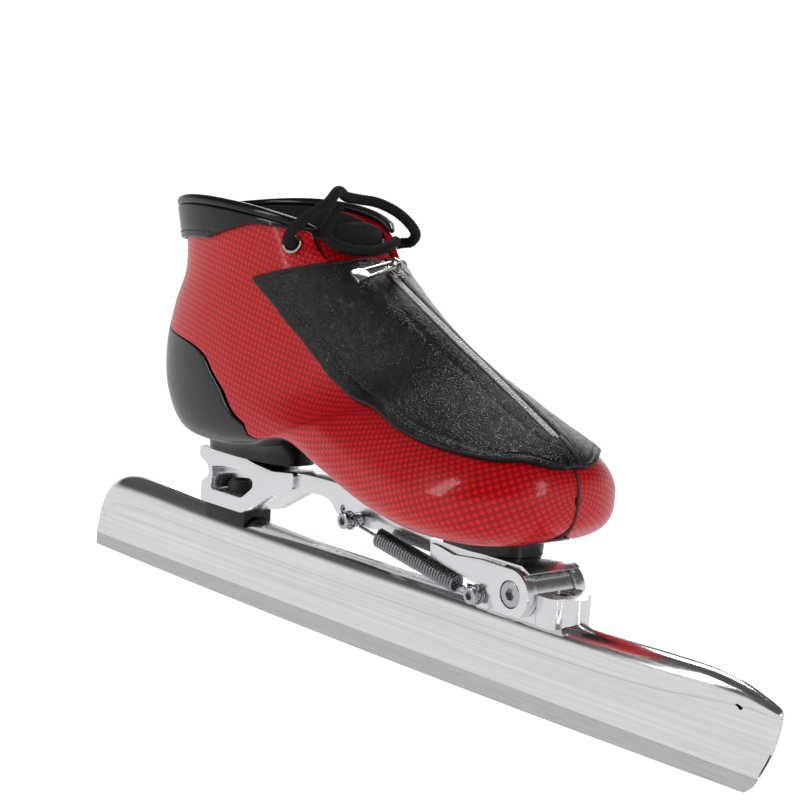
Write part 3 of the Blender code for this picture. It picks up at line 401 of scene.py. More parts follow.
def machine(stock, steps, rounding=0.0, segments=2):
    """Weld and cut solids with exact Booleans, round the edges over, and hand back the result."""
    scene = bpy.context.scene.collection
    pieces = []
    for source in [stock] + [tool for _, tool in steps]:
        bmesh.ops.recalc_face_normals(source, faces=source.faces)
        mesh = bpy.data.meshes.new("blank")
        source.to_mesh(mesh)
        source.free()
        pieces.append(bpy.data.objects.new("blank", mesh))
        scene.objects.link(pieces[-1])
    for (operation, _), tool in zip(steps, pieces[1:]):
        work = pieces[0].modifiers.new(operation, "BOOLEAN")
        work.operation, work.solver, work.object = operation, "EXACT", tool
    if rounding:
        edges = pieces[0].modifiers.new("edges", "BEVEL")
        edges.width, edges.segments, edges.limit_method = rounding, segments, "ANGLE"
        edges.angle_limit = math.radians(32.0)
        edges.miter_outer = "MITER_ARC"
    done = pieces[0].evaluated_get(bpy.context.evaluated_depsgraph_get())
    result = bmesh.new()
    result.from_mesh(done.to_mesh())
    done.to_mesh_clear()
    for piece in pieces:
        mesh = piece.data
        bpy.data.objects.remove(piece, do_unlink=True)
        bpy.data.meshes.remove(mesh)
    bmesh.ops.remove_doubles(result, verts=result.verts, dist=0.004)
    return result


def tube_ring(x, low, top, radius, foot):
    """Teardrop section with the crease between round top and skirt, and the runner's slot."""
    core = top - radius
    crease = max(core - 0.91 * radius, low + 0.3 * (core - low))
    half = max(0.41 * radius, foot)
    step = SKIRT_STEP * min(1.0, radius / 8.0)
    right = [(foot * 0.8, low), (foot, low + 0.4), ((foot + half - step) / 2, (low + crease) / 2),
             (half - step, crease - 0.35), (half - step * 0.4, crease - 0.05), (half, crease + 0.3)]
    start = math.degrees(math.asin(max(-0.9, (crease - core) / radius / 1.02)))
    right += [(radius * math.cos(math.radians(a)), core + radius * math.sin(math.radians(a)))
              for a in [start + 5 + (85 - start) * k / 15 for k in range(15)]]
    slot, roof = min(0.7, foot * 0.4), max(low + 0.2, min(SLOT_TOP, crease))
    outer = right + [(0.0, top)] + [(-y, z) for y, z in reversed(right)]
    inner = [(-slot, low), (-slot, roof), (slot, roof), (slot, low)]
    return [Vector((x, y, z)) for y, z in outer + inner]


def blade_tube():
    """The tube, sampled finely along a smooth line through its stations."""
    rows = [Vector(row) for row in TUBE_STATIONS]
    ends = [rows[0] * 2 - rows[1]] + rows + [rows[-1] * 2 - rows[-2]]
    rings = []
    for i in range(1, len(ends) - 2):
        steps = max(2, min(6, int((ends[i + 1][0] - ends[i][0]) / 2.5)))
        for k in range(steps):
            x, top, radius, foot = spline_at(ends[i - 1], ends[i], ends[i + 1], ends[i + 2], k / steps)
            rings.append(tube_ring(x, SKIRT_BOTTOM, top, radius, foot))
    x, top, radius, foot = rows[-1]
    rings.append(tube_ring(x, SKIRT_BOTTOM, top, radius, foot))
    rings += [tube_ring(*row) for row in TUBE_NOSE]
    bm, drill = bmesh.new(), bmesh.new()
    loft(bm, rings)
    x, z, radius = NOSE_HOLE
    turned(drill, ((-12.0, radius), (-1.0, radius)), (x, 0, z), (0, 1, 0), 24)
    bm = machine(bm, [("DIFFERENCE", drill)])
    for face in bm.faces:
        if all(math.hypot(v.co.x - x, v.co.z - z) < radius + 0.01 for v in face.verts):
            face.material_index = 1
    piece = mesh_piece("polished_blade_tube", bm, mirror_steel, "blade", ["blade_tube"], 24)
    piece.data.materials.append(bore_painted_shade)


# Nickel plated steel, buffed: a mirror with faint polishing lines along it. Its colour runs in lighter and darker
# streaks along the tube, partly the polishing lines and partly painted reflection.
mirror_steel, tree, shader = finish("buffed_nickel_plate", "#E6E6E8", 0.12, Metallic=1.0)
lines = streaks(tree, (10.0, 500.0, 700.0), 4.0)
spread = add(tree, "ShaderNodeMapRange", {"Value": lines, "From Min": 0.3, "From Max": 0.7,
                                          "To Min": 0.08, "To Max": 0.22})
tree.links.new(spread.outputs["Result"], shader.inputs["Roughness"])
# painted reflection: light and dark streaks in the colour along the tube, partly for the polishing lines
shade = add(tree, "ShaderNodeMix", {0: lines, 6: linear("#CBCBCD"), 7: linear("#F8F8F8")},
            data_type="RGBA")
tree.links.new(shade.outputs[2], shader.inputs["Base Color"])
bump = add(tree, "ShaderNodeBump", {"Height": lines, "Distance": 0.04 * MM, "Strength": 0.4})
tree.links.new(bump.outputs["Normal"], shader.inputs["Normal"])
# The hole's wall is bare steel that no polish reaches: dull, painted almost black as painted shade for the inside
# of the hole, and a little rusty.
bore_painted_shade, tree, shader = finish("drilled_bore_painted_shade", "#1E1C1B", 0.7, Metallic=0.6)
# painted shade: the wall of the hole is coloured almost black, with a faint brownish mottle
shade = add(tree, "ShaderNodeMix", {0: streaks(tree, (900.0, 900.0, 900.0)), 6: linear("#151413"), 7: linear("#2E2A27")},
            data_type="RGBA")
tree.links.new(shade.outputs[2], shader.inputs["Base Color"])
blade_tube()


# ================================================================ hinge base
# The block that carries the hinge: milled from aluminium plate, saddled to the tube and held by
# two socket screws. Its knuckle holds the axle, its lug the spring's front pin.

HINGE = (94.9, 48.6)         # x, z of the axle
FRONT_PIN = (76.2, 44.2)
BASE_SCREWS = (74.0, 108.0)
SCREW_SEATS = (44.2, 48.6)


def prism(bm, outline, y_low, y_high):
    """A closed solid with a side outline of (x, z) points, between two y planes."""
    near = [bm.verts.new((x, y_low, z)) for x, z in outline]
    far = [bm.verts.new((x, y_high, z)) for x, z in outline]
    bm.faces.new(near)
    bm.faces.new(list(reversed(far)))
    for i in range(len(outline)):
        j = (i + 1) % len(outline)
        bm.faces.new((near[i], far[i], far[j], near[j]))


def block(outline, y_low, y_high):
    """A prism in a bmesh of its own."""
    bm = bmesh.new()
    prism(bm, outline, y_low, y_high)
    return bm


def hinge_base():
    """Knuckle block, front nose and lug, with the saddle, bores and screw seats cut in."""
    hx, hz = HINGE
    side = [(104.0, 38.6), (104.0, 46.0)] + arc(hx, hz, 8.6, 0, 180, 32)[1:-1]
    side += [(86.2, 46.6), (66.0, 46.0), (66.0, 38.6)]
    nose = bmesh.new()
    near = [(103.5, -9.9), (105.2, -9.9), (105.2, -11.0)] + arc(110.6, -8.0, 3.0, -90, 0, 8)
    near += [(113.7, -6.9), (114.1, -5.9), (114.9, -5.1), (115.8, -4.7)]
    front = near + arc(113.0, 0.0, 5.6, -50, 50, 18) + [(x, -y) for x, y in reversed(near)]
    loft(nose, [[Vector((x, y, z)) for x, y in front] for z in (38.6, 50.2)])
    lug = block([(70.5, 39.2), (80.6, 39.2), (80.6, 45.0), (78.6, 47.4), (73.0, 47.6), (70.5, 45.0)], -12.4, -9.0)
    tools = bmesh.new()
    turned(tools, ((60.0, 8.35), (125.0, 8.35)), (0, 0, 33.0), (1, 0, 0), 48)
    bores = bmesh.new()
    turned(bores, ((-12.0, 4.9), (12.0, 4.9)), (hx, 0, hz), (0, 1, 0), 48)
    turned(bores, ((-20.0, 2.3), (-6.0, 2.3)), (FRONT_PIN[0], 0, FRONT_PIN[1]), (0, 1, 0), 32)
    for x, seat in zip(BASE_SCREWS, SCREW_SEATS):
        profile = ((36.0, 2.4), (seat - 1.6, 2.4), (seat - 1.6, 4.4), (60.0, 4.4))
        turned(bores, profile, (x, 0, 0), (0, 0, 1), 40)
    steps = [("UNION", nose), ("UNION", lug), ("DIFFERENCE", tools), ("DIFFERENCE", bores)]
    bm = machine(block(side, -10.1, 10.1), steps, 0.4)
    mesh_piece("milled_hinge_base", bm, milled_aluminium, "blade", ["hinge_base"], 30)


# Aluminium alloy, milled and then brightened: almost white, with the cutter's marks as fine soft
# lines. The marks are drawn 0.6 mm apart so that they show.
milled_aluminium, tree, shader = finish("milled_bright_aluminium", "#E2E3E5", 0.24, Metallic=1.0)
marks = streaks(tree, (90.0, 300.0, 1600.0), 3.0)
spread = add(tree, "ShaderNodeMapRange", {"Value": marks, "From Min": 0.3, "From Max": 0.7,
                                          "To Min": 0.19, "To Max": 0.3})
tree.links.new(spread.outputs["Result"], shader.inputs["Roughness"])
shade = add(tree, "ShaderNodeMix", {0: marks, 6: linear("#DDDEE0"), 7: linear("#EDEEEF")},
            data_type="RGBA")
tree.links.new(shade.outputs[2], shader.inputs["Base Color"])
bump = add(tree, "ShaderNodeBump", {"Height": marks, "Distance": 0.01 * MM, "Strength": 0.06})
tree.links.new(bump.outputs["Normal"], shader.inputs["Normal"])
hinge_base()


# ================================================================ screws
# Socket-head cap screws and pins of alloy steel, zinc plated. They hold the base to the tube, the
# bridge to the boot, and the spring's two ends.

SPRING_Y = -14.6
REAR_PIN = (-1.7, 57.6)
GRUB = (-12.5, 59.8)
BLOCK_SCREW = -96.5
HEEL_BOLTS = ((-87.0, 0.0),)
BALL_BOLTS = ((58.0, -5.0), (58.0, 5.0))
BOLT_GRIP = 9.8


def socket_head(profile, socket_r, socket_d, place, direction, sides=36):
    """A turned head and shank with a six-sided socket sunk into its face."""
    along = Vector(direction).normalized()
    turn = Vector((0.0, 0.0, 1.0)).rotation_difference(along).to_matrix()

    def ring(distance, radius, hexagon):
        result = []
        for k in range(sides):
            a = 2.0 * math.pi * k / sides
            r = radius
            if hexagon:
                r = radius * math.cos(math.pi / 6) / math.cos((a % (math.pi / 3)) - math.pi / 6)
            result.append(turn @ Vector((r * math.cos(a), r * math.sin(a), distance)) + Vector(place))
        return result

    rings = [ring(socket_d, socket_r * 0.98, True), ring(0.12, socket_r, True), ring(0.0, socket_r + 0.12, True)]
    rings += [ring(distance, radius, False) for distance, radius in profile]
    bm = bmesh.new()
    loft(bm, rings)
    return bm


def cap_screw(name, head_r, head_h, shank_r, length, socket_r, socket_d, place, direction, body):
    """A cap screw whose rim is rounded over."""
    profile = [(0.0, head_r - 0.6), (0.08, head_r - 0.3), (0.3, head_r - 0.06), (0.55, head_r),
               (head_h - 0.15, head_r), (head_h, head_r - 0.15), (head_h, shank_r), (length, shank_r)]
    bm = socket_head(profile, socket_r, socket_d, place, direction)
    mesh_piece(name + "_turned", bm, zinc_steel, body, [name], 30)


def screws():
    """Every cap screw, the spring's two grooved pins and the grub screw."""
    for name, x, seat in zip(("base_screw_rear", "base_screw_front"), BASE_SCREWS, SCREW_SEATS):
        top = seat + 1.2
        cap_screw(name, 4.0, 2.4, 2.0, top - 37.6, 2.0, 1.4, (x, 0, top), (0, 0, -1), "blade")
    cap_screw("heel_block_screw", 3.4, 3.0, 2.0, 15.8, 1.8, 1.6, (BLOCK_SCREW, 0, 53.4), (0, 0, -1), "blade")
    names = ("heel_bolt", "ball_bolt_near", "ball_bolt_far")
    for name, (x, y), seat in zip(names, HEEL_BOLTS + BALL_BOLTS, (63.2, 56.2, 56.2)):
        cap_screw(name, 4.2, 2.6, 2.4, BOLT_GRIP + 2.6, 2.1, 1.5, (x, y, seat - 2.6), (0, 0, 1), "boot")
    for name, (x, z), root, body in (("rear_spring_pin", REAR_PIN, 8.6, "boot"),
                                     ("front_spring_pin", FRONT_PIN, 5.9, "blade")):
        profile = [(0.0, 2.9), (0.12, 3.15), (0.4, 3.4), (2.0, 3.4), (2.2, 3.2), (2.25, 1.5), (2.6, 1.3),
                   (4.8, 1.3), (5.15, 1.5), (5.2, 2.8), (5.4, 3.0), (root, 3.0), (root, 2.0), (root + 5.0, 2.0)]
        bm = socket_head(profile, 1.9, 1.4, (x, SPRING_Y - 4.0, z), (0, 1, 0))
        mesh_piece(name + "_turned", bm, zinc_steel, body, [name], 30)
    bm = socket_head([(0.0, 1.3), (0.2, 1.5), (4.0, 1.5)], 0.9, 1.2, (GRUB[0], -9.2, GRUB[1]), (0, 1, 0), 24)
    mesh_piece("grub_screw_turned", bm, zinc_steel, "boot", ["grub_screw"], 30)


# Alloy steel with bright zinc plating: a silver grey, smooth, slightly cloudy reflection.
zinc_steel, tree, shader = finish("zinc_plated_steel", "#B9BABD", 0.24, Metallic=1.0)
cloud = streaks(tree, (500.0, 500.0, 500.0), 4.0)
spread = add(tree, "ShaderNodeMapRange", {"Value": cloud, "From Min": 0.3, "From Max": 0.7,
                                          "To Min": 0.16, "To Max": 0.36})
tree.links.new(spread.outputs["Result"], shader.inputs["Roughness"])
bump = add(tree, "ShaderNodeBump", {"Height": cloud, "Distance": 0.02 * MM, "Strength": 0.4})
tree.links.new(bump.outputs["Normal"], shader.inputs["Normal"])
screws()


# ================================================================ heel block
# The stop that the bridge's heel lands on: a saddle of moulded nitrile rubber with a post in its
# middle, screwed down on the tube.

def heel_block():
    """Saddle block and post with rounded edges."""
    post, saddle, bore = bmesh.new(), bmesh.new(), bmesh.new()
    turned(post, ((43.0, 6.2), (54.5, 6.2), (56.2, 5.2)), (BLOCK_SCREW, 0, 0), (0, 0, 1), 40)
    turned(saddle, ((-130.0, 8.4), (-70.0, 8.4)), (0, 0, 33.3), (1, 0, 0), 48)
    turned(bore, ((36.0, 2.4), (50.0, 2.4), (50.0, 3.8), (60.0, 3.8)), (BLOCK_SCREW, 0, 0), (0, 0, 1), 32)
    body = block([(-113.5, 35.5), (-83.5, 35.5), (-83.5, 44.6), (-113.5, 44.6)], -7.4, 7.4)
    bm = machine(body, [("UNION", post), ("DIFFERENCE", saddle), ("DIFFERENCE", bore)], 0.6, 3)
    mesh_piece("moulded_heel_block", bm, nitrile, "blade", ["heel_block"], 40)


# Moulded nitrile rubber: black and dull with a fine pebble left by the mould.
nitrile, tree, shader = finish("moulded_nitrile_rubber", "#131314", 0.58, IOR=1.52)
pebble = streaks(tree, (1600.0, 1600.0, 1600.0), 2.0)
spread = add(tree, "ShaderNodeMapRange", {"Value": pebble, "From Min": 0.3, "From Max": 0.7,
                                          "To Min": 0.45, "To Max": 0.7})
tree.links.new(spread.outputs["Result"], shader.inputs["Roughness"])
bump = add(tree, "ShaderNodeBump", {"Height": pebble, "Distance": 0.05 * MM, "Strength": 0.5})
tree.links.new(bump.outputs["Normal"], shader.inputs["Normal"])
heel_block()


# ================================================================ bridge
# The arm between boot and blade, milled in one piece: a heel ring open to the sides, a waisted
# arm, the plate under the ball of the foot and the two ears that the axle runs through.

RING_HALF, ARM_HALF, EAR_OUT, EAR_IN = 12.0, 9.5, 15.5, 10.4
HEEL_TOP, PLATE_TOP = 70.0, 60.0
AXLE_R = 3.0


def rounded(outline, radius, steps=4):
    """Round the corners of an outline; corners on short edges get what fits."""
    result, count = [], len(outline)
    for i in range(count):
        before, corner, after = (Vector(outline[(i + k) % count]) for k in (-1, 0, 1))
        room = min(radius, (before - corner).length * 0.45, (after - corner).length * 0.45)
        start = corner + (before - corner).normalized() * room
        end = corner + (after - corner).normalized() * room
        for k in range(steps + 1):
            t = k / steps
            result.append(tuple(start * (1 - t) ** 2 + corner * 2 * t * (1 - t) + end * t * t))
    return result


def bridge():
    """Ring, arm, plate and ears welded; window, post hole and bores cut; edges broken."""
    hx, hz = HINGE
    ring = [(-111.2, 45.0), (-80.0, 45.0), (-76.0, 47.0), (-58.5, 56.8), (-44.0, 62.5), (-44.0, 69.2),
            (-59.0, 67.4), (-72.0, 68.6), (-80.0, HEEL_TOP), (-113.4, HEEL_TOP), (-113.4, 65.0),
            (-107.5, 62.8), (-105.5, 59.0), (-107.0, 56.5), (-111.2, 53.8)]
    arm = [(-62.0, 56.5), (-58.5, 56.8), (-42.0, 61.5), (-30.0, 62.8), (-21.5, 62.2), (-17.0, 57.4),
           (-9.0, 54.6), (4.0, 54.4), (12.0, 56.0), (21.0, 54.2), (50.0, 53.0), (52.0, 53.0),
           (52.0, 59.8), (46.0, 59.8), (20.0, 64.4), (-5.0, 69.0), (-20.0, 70.0), (-40.0, 69.6),
           (-59.0, 67.2), (-62.0, 67.0)]
    plate = [(47.0, 56.6), (86.0, 56.6), (90.0, 58.9), (97.0, 58.8), (101.5, 57.0), (102.6, 57.9),
             (98.5, PLATE_TOP), (47.0, PLATE_TOP)]
    ear = arc(hx, hz, 9.6, -55, 88, 36)
    ear += [(78.0, 58.4), (63.0, 57.0), (54.0, 58.6), (49.5, 58.8),
            (49.5, 53.5), (60.0, 51.4), (70.0, 49.6), (80.5, 47.8), (84.5, 45.6), (87.0, 41.2)]
    ears = block(ear, -EAR_OUT, -EAR_IN)
    prism(ears, ear, EAR_IN, EAR_OUT)
    window = [(-104.0, 51.5), (-80.5, 51.5), (-72.6, 57.6), (-72.6, 60.8), (-81.5, 63.6), (-93.0, 63.8),
              (-104.0, 62.0), (-102.8, 58.8)]
    holes = bmesh.new()
    turned(holes, ((40.0, 7.4), (53.0, 7.4)), (BLOCK_SCREW, 0, 0), (0, 0, 1), 40)
    for x, y in HEEL_BOLTS + BALL_BOLTS:
        turned(holes, ((53.5, 2.8), (80.0, 2.8)), (x, y, 0), (0, 0, 1), 24)
    axle = ((-20.0, 5.4), (-12.7, 5.4), (-12.7, AXLE_R + 0.3), (12.7, AXLE_R + 0.3), (12.7, 5.4), (20.0, 5.4))
    turned(holes, axle, (hx, 0, hz), (0, 1, 0), 40)
    turned(holes, ((-20.0, 2.4), (-2.0, 2.4)), (REAR_PIN[0], 0, REAR_PIN[1]), (0, 1, 0), 24)
    turned(holes, ((-20.0, 1.8), (-4.0, 1.8)), (GRUB[0], 0, GRUB[1]), (0, 1, 0), 24)
    steps = [("UNION", block(rounded(arm, 5.0), -ARM_HALF, ARM_HALF)),
             ("UNION", block(plate, -EAR_OUT + 2.0, EAR_OUT - 2.0)), ("UNION", ears),
             ("DIFFERENCE", block(rounded(window, 1.8), -20.0, 20.0)), ("DIFFERENCE", holes)]
    bm = machine(block(rounded(ring, 1.6), -RING_HALF, RING_HALF), steps, 0.45)
    mesh_piece("milled_bridge", bm, milled_aluminium, "boot", ["bridge"], 30)


bridge()


# ================================================================ axle
# The clap hinge turns on a shouldered bolt of zinc plated steel with a sleeve nut, in two sintered
# bronze bushes pressed into the base's knuckle.

def axle():
    """Bolt and nut, their heads sunk in the ears."""
    hx, hz = HINGE
    cap_screw("axle_bolt", 5.1, 2.4, AXLE_R, 27.4, 2.5, 1.8, (hx, -15.3, hz), (0, 1, 0), "boot")
    bm = bmesh.new()
    turned(bm, ((0.0, 5.0), (0.15, 5.1), (2.1, 5.1), (2.4, 4.8), (2.4, 2.0), (1.2, 1.9)), (hx, 12.9, hz),
           (0, 1, 0), 48)
    mesh_piece("axle_nut_turned", bm, zinc_steel, "boot", ["axle_nut"], 30)


# Sintered bronze: a dull orange brown with fine open pores.
bronze, tree, shader = finish("sintered_bronze", "#A9783F", 0.42, Metallic=1.0)
pores = streaks(tree, (2500.0, 2500.0, 2500.0), 2.0)
spread = add(tree, "ShaderNodeMapRange", {"Value": pores, "From Min": 0.3, "From Max": 0.7,
                                          "To Min": 0.35, "To Max": 0.6})
tree.links.new(spread.outputs["Result"], shader.inputs["Roughness"])
bump = add(tree, "ShaderNodeBump", {"Height": pores, "Distance": 0.03 * MM, "Strength": 0.5})
tree.links.new(bump.outputs["Normal"], shader.inputs["Normal"])
repaint(bronze, "bush_near", "bush_far")
axle()


# ================================================================ return spring
# An extension spring wound from 1.2 mm music wire and already a little drawn out, with an open hook
# at each end. It pulls the blade's heel back up after each stroke.

COIL_R, COIL_START, COIL_END = 4.0, 19.0, 68.5
WIRE_R = 0.6
COIL_PITCH = 1.6
HOOK_R = 3.4


def spring_axes():
    """Start, direction and the two crosswise directions of the spring's line."""
    start = Vector((REAR_PIN[0], SPRING_Y, REAR_PIN[1]))
    end = Vector((FRONT_PIN[0], SPRING_Y, FRONT_PIN[1]))
    along = (end - start).normalized()
    return start, along, Vector((-along.z, 0.0, along.x)), Vector((0.0, 1.0, 0.0)), (end - start).length


def coil():
    """The wound helix, which stretches between the arm and the front hook."""
    start, along, up, side, _ = spring_axes()
    length = COIL_END - COIL_START
    turns = round(length / COIL_PITCH)
    steps = turns * 26
    r = COIL_R - WIRE_R
    points = []
    for i in range(steps + 1):
        a = 2.0 * math.pi * turns * i / steps
        reach = COIL_START + WIRE_R + (length - 2 * WIRE_R) * i / steps
        points.append(start + along * reach + (up * math.cos(a) + side * math.sin(a)) * r)
    bm = bmesh.new()
    tube(bm, points, 10, WIRE_R)
    piece = mesh_piece("wound_coil", bm, music_wire, None, ["spring_coil"], 180)
    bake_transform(piece)


def spring_hook(name, place, reach, facing, body):
    """Wire eye round a pin, running on as a rod that joins the coil's last turn."""
    _, along, up, _, _ = spring_axes()
    axis, up = along * facing, up * facing
    centre = Vector((place[0], SPRING_Y, place[1]))
    points = []
    for k in range(37):
        a = math.radians(-20.0 - 300.0 * k / 36)
        points.append(centre + (axis * math.cos(a) + up * math.sin(a)) * HOOK_R)
    points += [points[-1].lerp(centre + axis * (HOOK_R + 3.0), 0.6), centre + axis * (HOOK_R + 3.4)]
    points += [centre + axis * reach * 0.6, centre + axis * (reach - 3.4)]
    points += [centre + axis * (reach - 1.6) + up * 1.2, centre + axis * (reach - 1.0) + up * 3.0]
    bm = bmesh.new()
    tube(bm, even_route(smooth_route(points, 3), 0.5), 14, WIRE_R)
    mesh_piece(name + "_wire", bm, music_wire, body, [name], 60)


# Music wire, drawn and oil blackened: a dark glossy grey.
music_wire, tree, shader = finish("oiled_music_wire", "#85868A", 0.22, Metallic=1.0)
drawn = streaks(tree, (900.0, 900.0, 900.0), 3.0)
spread = add(tree, "ShaderNodeMapRange", {"Value": drawn, "From Min": 0.3, "From Max": 0.7,
                                          "To Min": 0.16, "To Max": 0.34})
tree.links.new(spread.outputs["Result"], shader.inputs["Roughness"])
shade = add(tree, "ShaderNodeMix", {0: drawn, 6: linear("#6C6D71"), 7: linear("#A2A3A7")},
            data_type="RGBA")
tree.links.new(shade.outputs[2], shader.inputs["Base Color"])
coil()
spring_span = spring_axes()[4]
spring_hook("rear_hook", REAR_PIN, COIL_START + 1.0, 1.0, "spring_arm")
spring_hook("front_hook", FRONT_PIN, spring_span - COIL_END + 1.0, -1.0, "spring_hook")


# ================================================================ uppers
# Two side panels of woven glass cloth under a clear red coat, glued over a stiff shell. They meet
# in a seam over the toes and another down the heel, and are folded over along the lacing throat.

# one row per station from collar to toe tip: top x, top z, bottom x, bottom z, half width, widest
# place, top power, bottom power, side rise
STATIONS = (
    (-16.0, 169.5, -135.0, 175.0, 33.0, 0.50, 2.1, 2.2, 8.0),
    (-7.2, 160.8, -131.0, 161.0, 33.0, 0.50, 2.0, 2.2, 5.0),
    (2.5, 155.4, -129.5, 148.0, 33.5, 0.48, 1.9, 2.3, 1.5),
    (14.5, 149.4, -135.5, 133.0, 34.5, 0.46, 1.8, 2.4, 0.0),
    (26.5, 143.8, -139.0, 113.0, 35.5, 0.44, 1.7, 2.5, 0.0),
    (37.5, 138.6, -134.0, 93.0, 36.0, 0.42, 1.65, 2.7, 0.0),
    (47.5, 133.9, -117.0, 78.0, 36.5, 0.40, 1.6, 3.0, 0.0),
    (56.0, 130.2, -88.0, 75.5, 37.5, 0.38, 1.55, 3.2, 0.0),
    (63.0, 126.9, -58.0, 79.0, 39.0, 0.36, 1.55, 3.2, 0.0),
    (70.0, 123.6, -30.0, 86.0, 41.0, 0.34, 1.55, 3.2, 0.0),
    (77.0, 120.3, 0.0, 79.5, 44.0, 0.34, 1.6, 3.2, 0.0),
    (84.0, 117.0, 32.0, 70.5, 45.5, 0.36, 1.65, 3.2, 0.0),
    (91.0, 113.7, 62.0, 66.0, 45.5, 0.40, 1.65, 3.2, 0.0),
    (98.0, 110.4, 88.0, 66.5, 42.0, 0.42, 1.7, 3.2, 0.0),
    (105.0, 107.0, 104.0, 69.5, 34.5, 0.45, 1.8, 3.2, 0.0),
    (112.0, 102.5, 113.0, 74.5, 25.0, 0.47, 2.0, 3.0, 0.0),
    (117.0, 97.0, 117.3, 79.5, 14.0, 0.50, 2.2, 2.6, 0.0),
    (119.0, 90.0, 119.0, 87.0, 1.0, 0.50, 2.0, 2.0, 0.0),
)
LAST = len(STATIONS) - 1
SWING, SWING_START, SWING_EASE = 0.055, -20.0, 30.0
SHELL_THICK = 2.2
TOW = 1.7                    # width of one woven tow
EYELET = (0.66, 53.0)        # station and angle of the eyelets


@functools.lru_cache(maxsize=None)
def station(s):
    """Section values at a fractional station number."""
    s = min(max(s, 0.0), LAST - 1e-6)
    i = int(s)
    rows = [STATIONS[min(max(j, 0), LAST)] for j in (i - 1, i, i + 1, i + 2)]
    return [spline_at(*column, s - i) for column in zip(*rows)]


def boot_skin(s, angle):
    """Outer boot surface: angle 0 is the instep, 180 the sole, negative the near side."""
    tx, tz, bx, bz, half, wide, top_power, low_power, rise = station(s)
    angle = (angle + 180.0) % 360.0 - 180.0
    a = math.radians(angle)
    power = top_power if abs(angle) < 90.0 else low_power
    along = math.copysign(abs(math.cos(a)) ** (2.0 / power), math.cos(a))
    across = math.copysign(abs(math.sin(a)) ** (2.0 / power), math.sin(a))
    reach = wide + (1.0 - wide) * along if along > 0 else wide + wide * along
    x = bx + (tx - bx) * reach
    ahead = x - SWING_START
    swing = -SWING * 0.5 * (ahead + math.sqrt(ahead * ahead + SWING_EASE * SWING_EASE))
    return Vector((x, half * across + swing, bz + (tz - bz) * reach + rise * across * across))


def boot_normal(s, angle):
    """Unit normal that points out of the boot."""
    ds, da = 0.04, 1.5
    u = boot_skin(min(s + ds, LAST - 0.01), angle) - boot_skin(max(s - ds, 0.0), angle)
    v = boot_skin(s, angle + da) - boot_skin(s, angle - da)
    return u.cross(v).normalized()


def boot_point(s, angle, out=0.0):
    """A point at a distance outside (or, negative, inside) the boot's skin."""
    return boot_skin(s, angle) + boot_normal(s, angle) * out


def table(s, rows):
    """Read a value off a short list of (station, value) pairs."""
    if s <= rows[0][0]:
        return rows[0][1]
    for (s0, v0), (s1, v1) in zip(rows, rows[1:]):
        if s <= s1:
            return v0 + (v1 - v0) * (s - s0) / (s1 - s0)
    return rows[-1][1]


def eased(s, rows):
    """The same list, read as a smooth curve: the mean over a window of 0.7 of a station."""
    return sum(table(s + 0.05 * d, rows) * (8 - abs(d)) for d in range(-7, 8)) / 64.0


def steps_between(low, high, pitch):
    """Evenly spaced values about a pitch apart, both ends included."""
    count = max(1, round((high - low) / pitch))
    return [low + (high - low) * i / count for i in range(count + 1)]


def columns(width, count, edge=1.2):
    """Fractions across a sheet, crowded at its two edges so that they can be rounded."""
    near = [0.0, 0.12 * edge / width, 0.4 * edge / width, edge / width]
    middle = [near[-1] + (1.0 - 2.0 * near[-1]) * i / count for i in range(1, count)]
    return near + middle + [1.0 - t for t in reversed(near)]


def unrolled(grid):
    """Lay a grid of points out flat with as little stretch as can be; millimetres."""
    mesh = bpy.data.meshes.new("flat")
    wide = len(grid[0])
    faces = [(i * wide + j, i * wide + j + 1, (i + 1) * wide + j + 1, (i + 1) * wide + j)
             for i in range(len(grid) - 1) for j in range(wide - 1)]
    mesh.from_pydata([p for row in grid for p in row], [], faces)
    mesh.uv_layers.new(name="flat")
    piece = bpy.data.objects.new("flat", mesh)
    bpy.context.scene.collection.objects.link(piece)
    bpy.context.view_layer.objects.active = piece
    piece.select_set(True)
    bpy.ops.object.mode_set(mode="EDIT")
    bpy.ops.mesh.select_all(action="SELECT")
    bpy.ops.uv.unwrap(method="MINIMUM_STRETCH", iterations=8, margin=0.0)
    bpy.ops.object.mode_set(mode="OBJECT")
    flat = [None] * len(mesh.vertices)
    for loop, spot in zip(mesh.loops, mesh.uv_layers[0].data):
        flat[loop.vertex_index] = Vector((spot.uv[0], spot.uv[1], 0.0))
    true_length = flat_length = 0.0
    lean = Vector((0.0, 0.0))
    for edge in mesh.edges:
        a, b = edge.vertices
        across = mesh.vertices[b].co - mesh.vertices[a].co
        laid = flat[b] - flat[a]
        true_length += across.length
        flat_length += laid.length
        lean += Vector((laid.x * across.x + laid.y * across.z, laid.x * across.z - laid.y * across.x))
    bpy.data.objects.remove(piece, do_unlink=True)
    bpy.data.meshes.remove(mesh)
    turn = Matrix.Rotation(math.atan2(lean.y, lean.x), 3, "Z") * (true_length / flat_length)
    flat = [turn @ p for p in flat]
    return [flat[i * wide:(i + 1) * wide] for i in range(len(grid))]


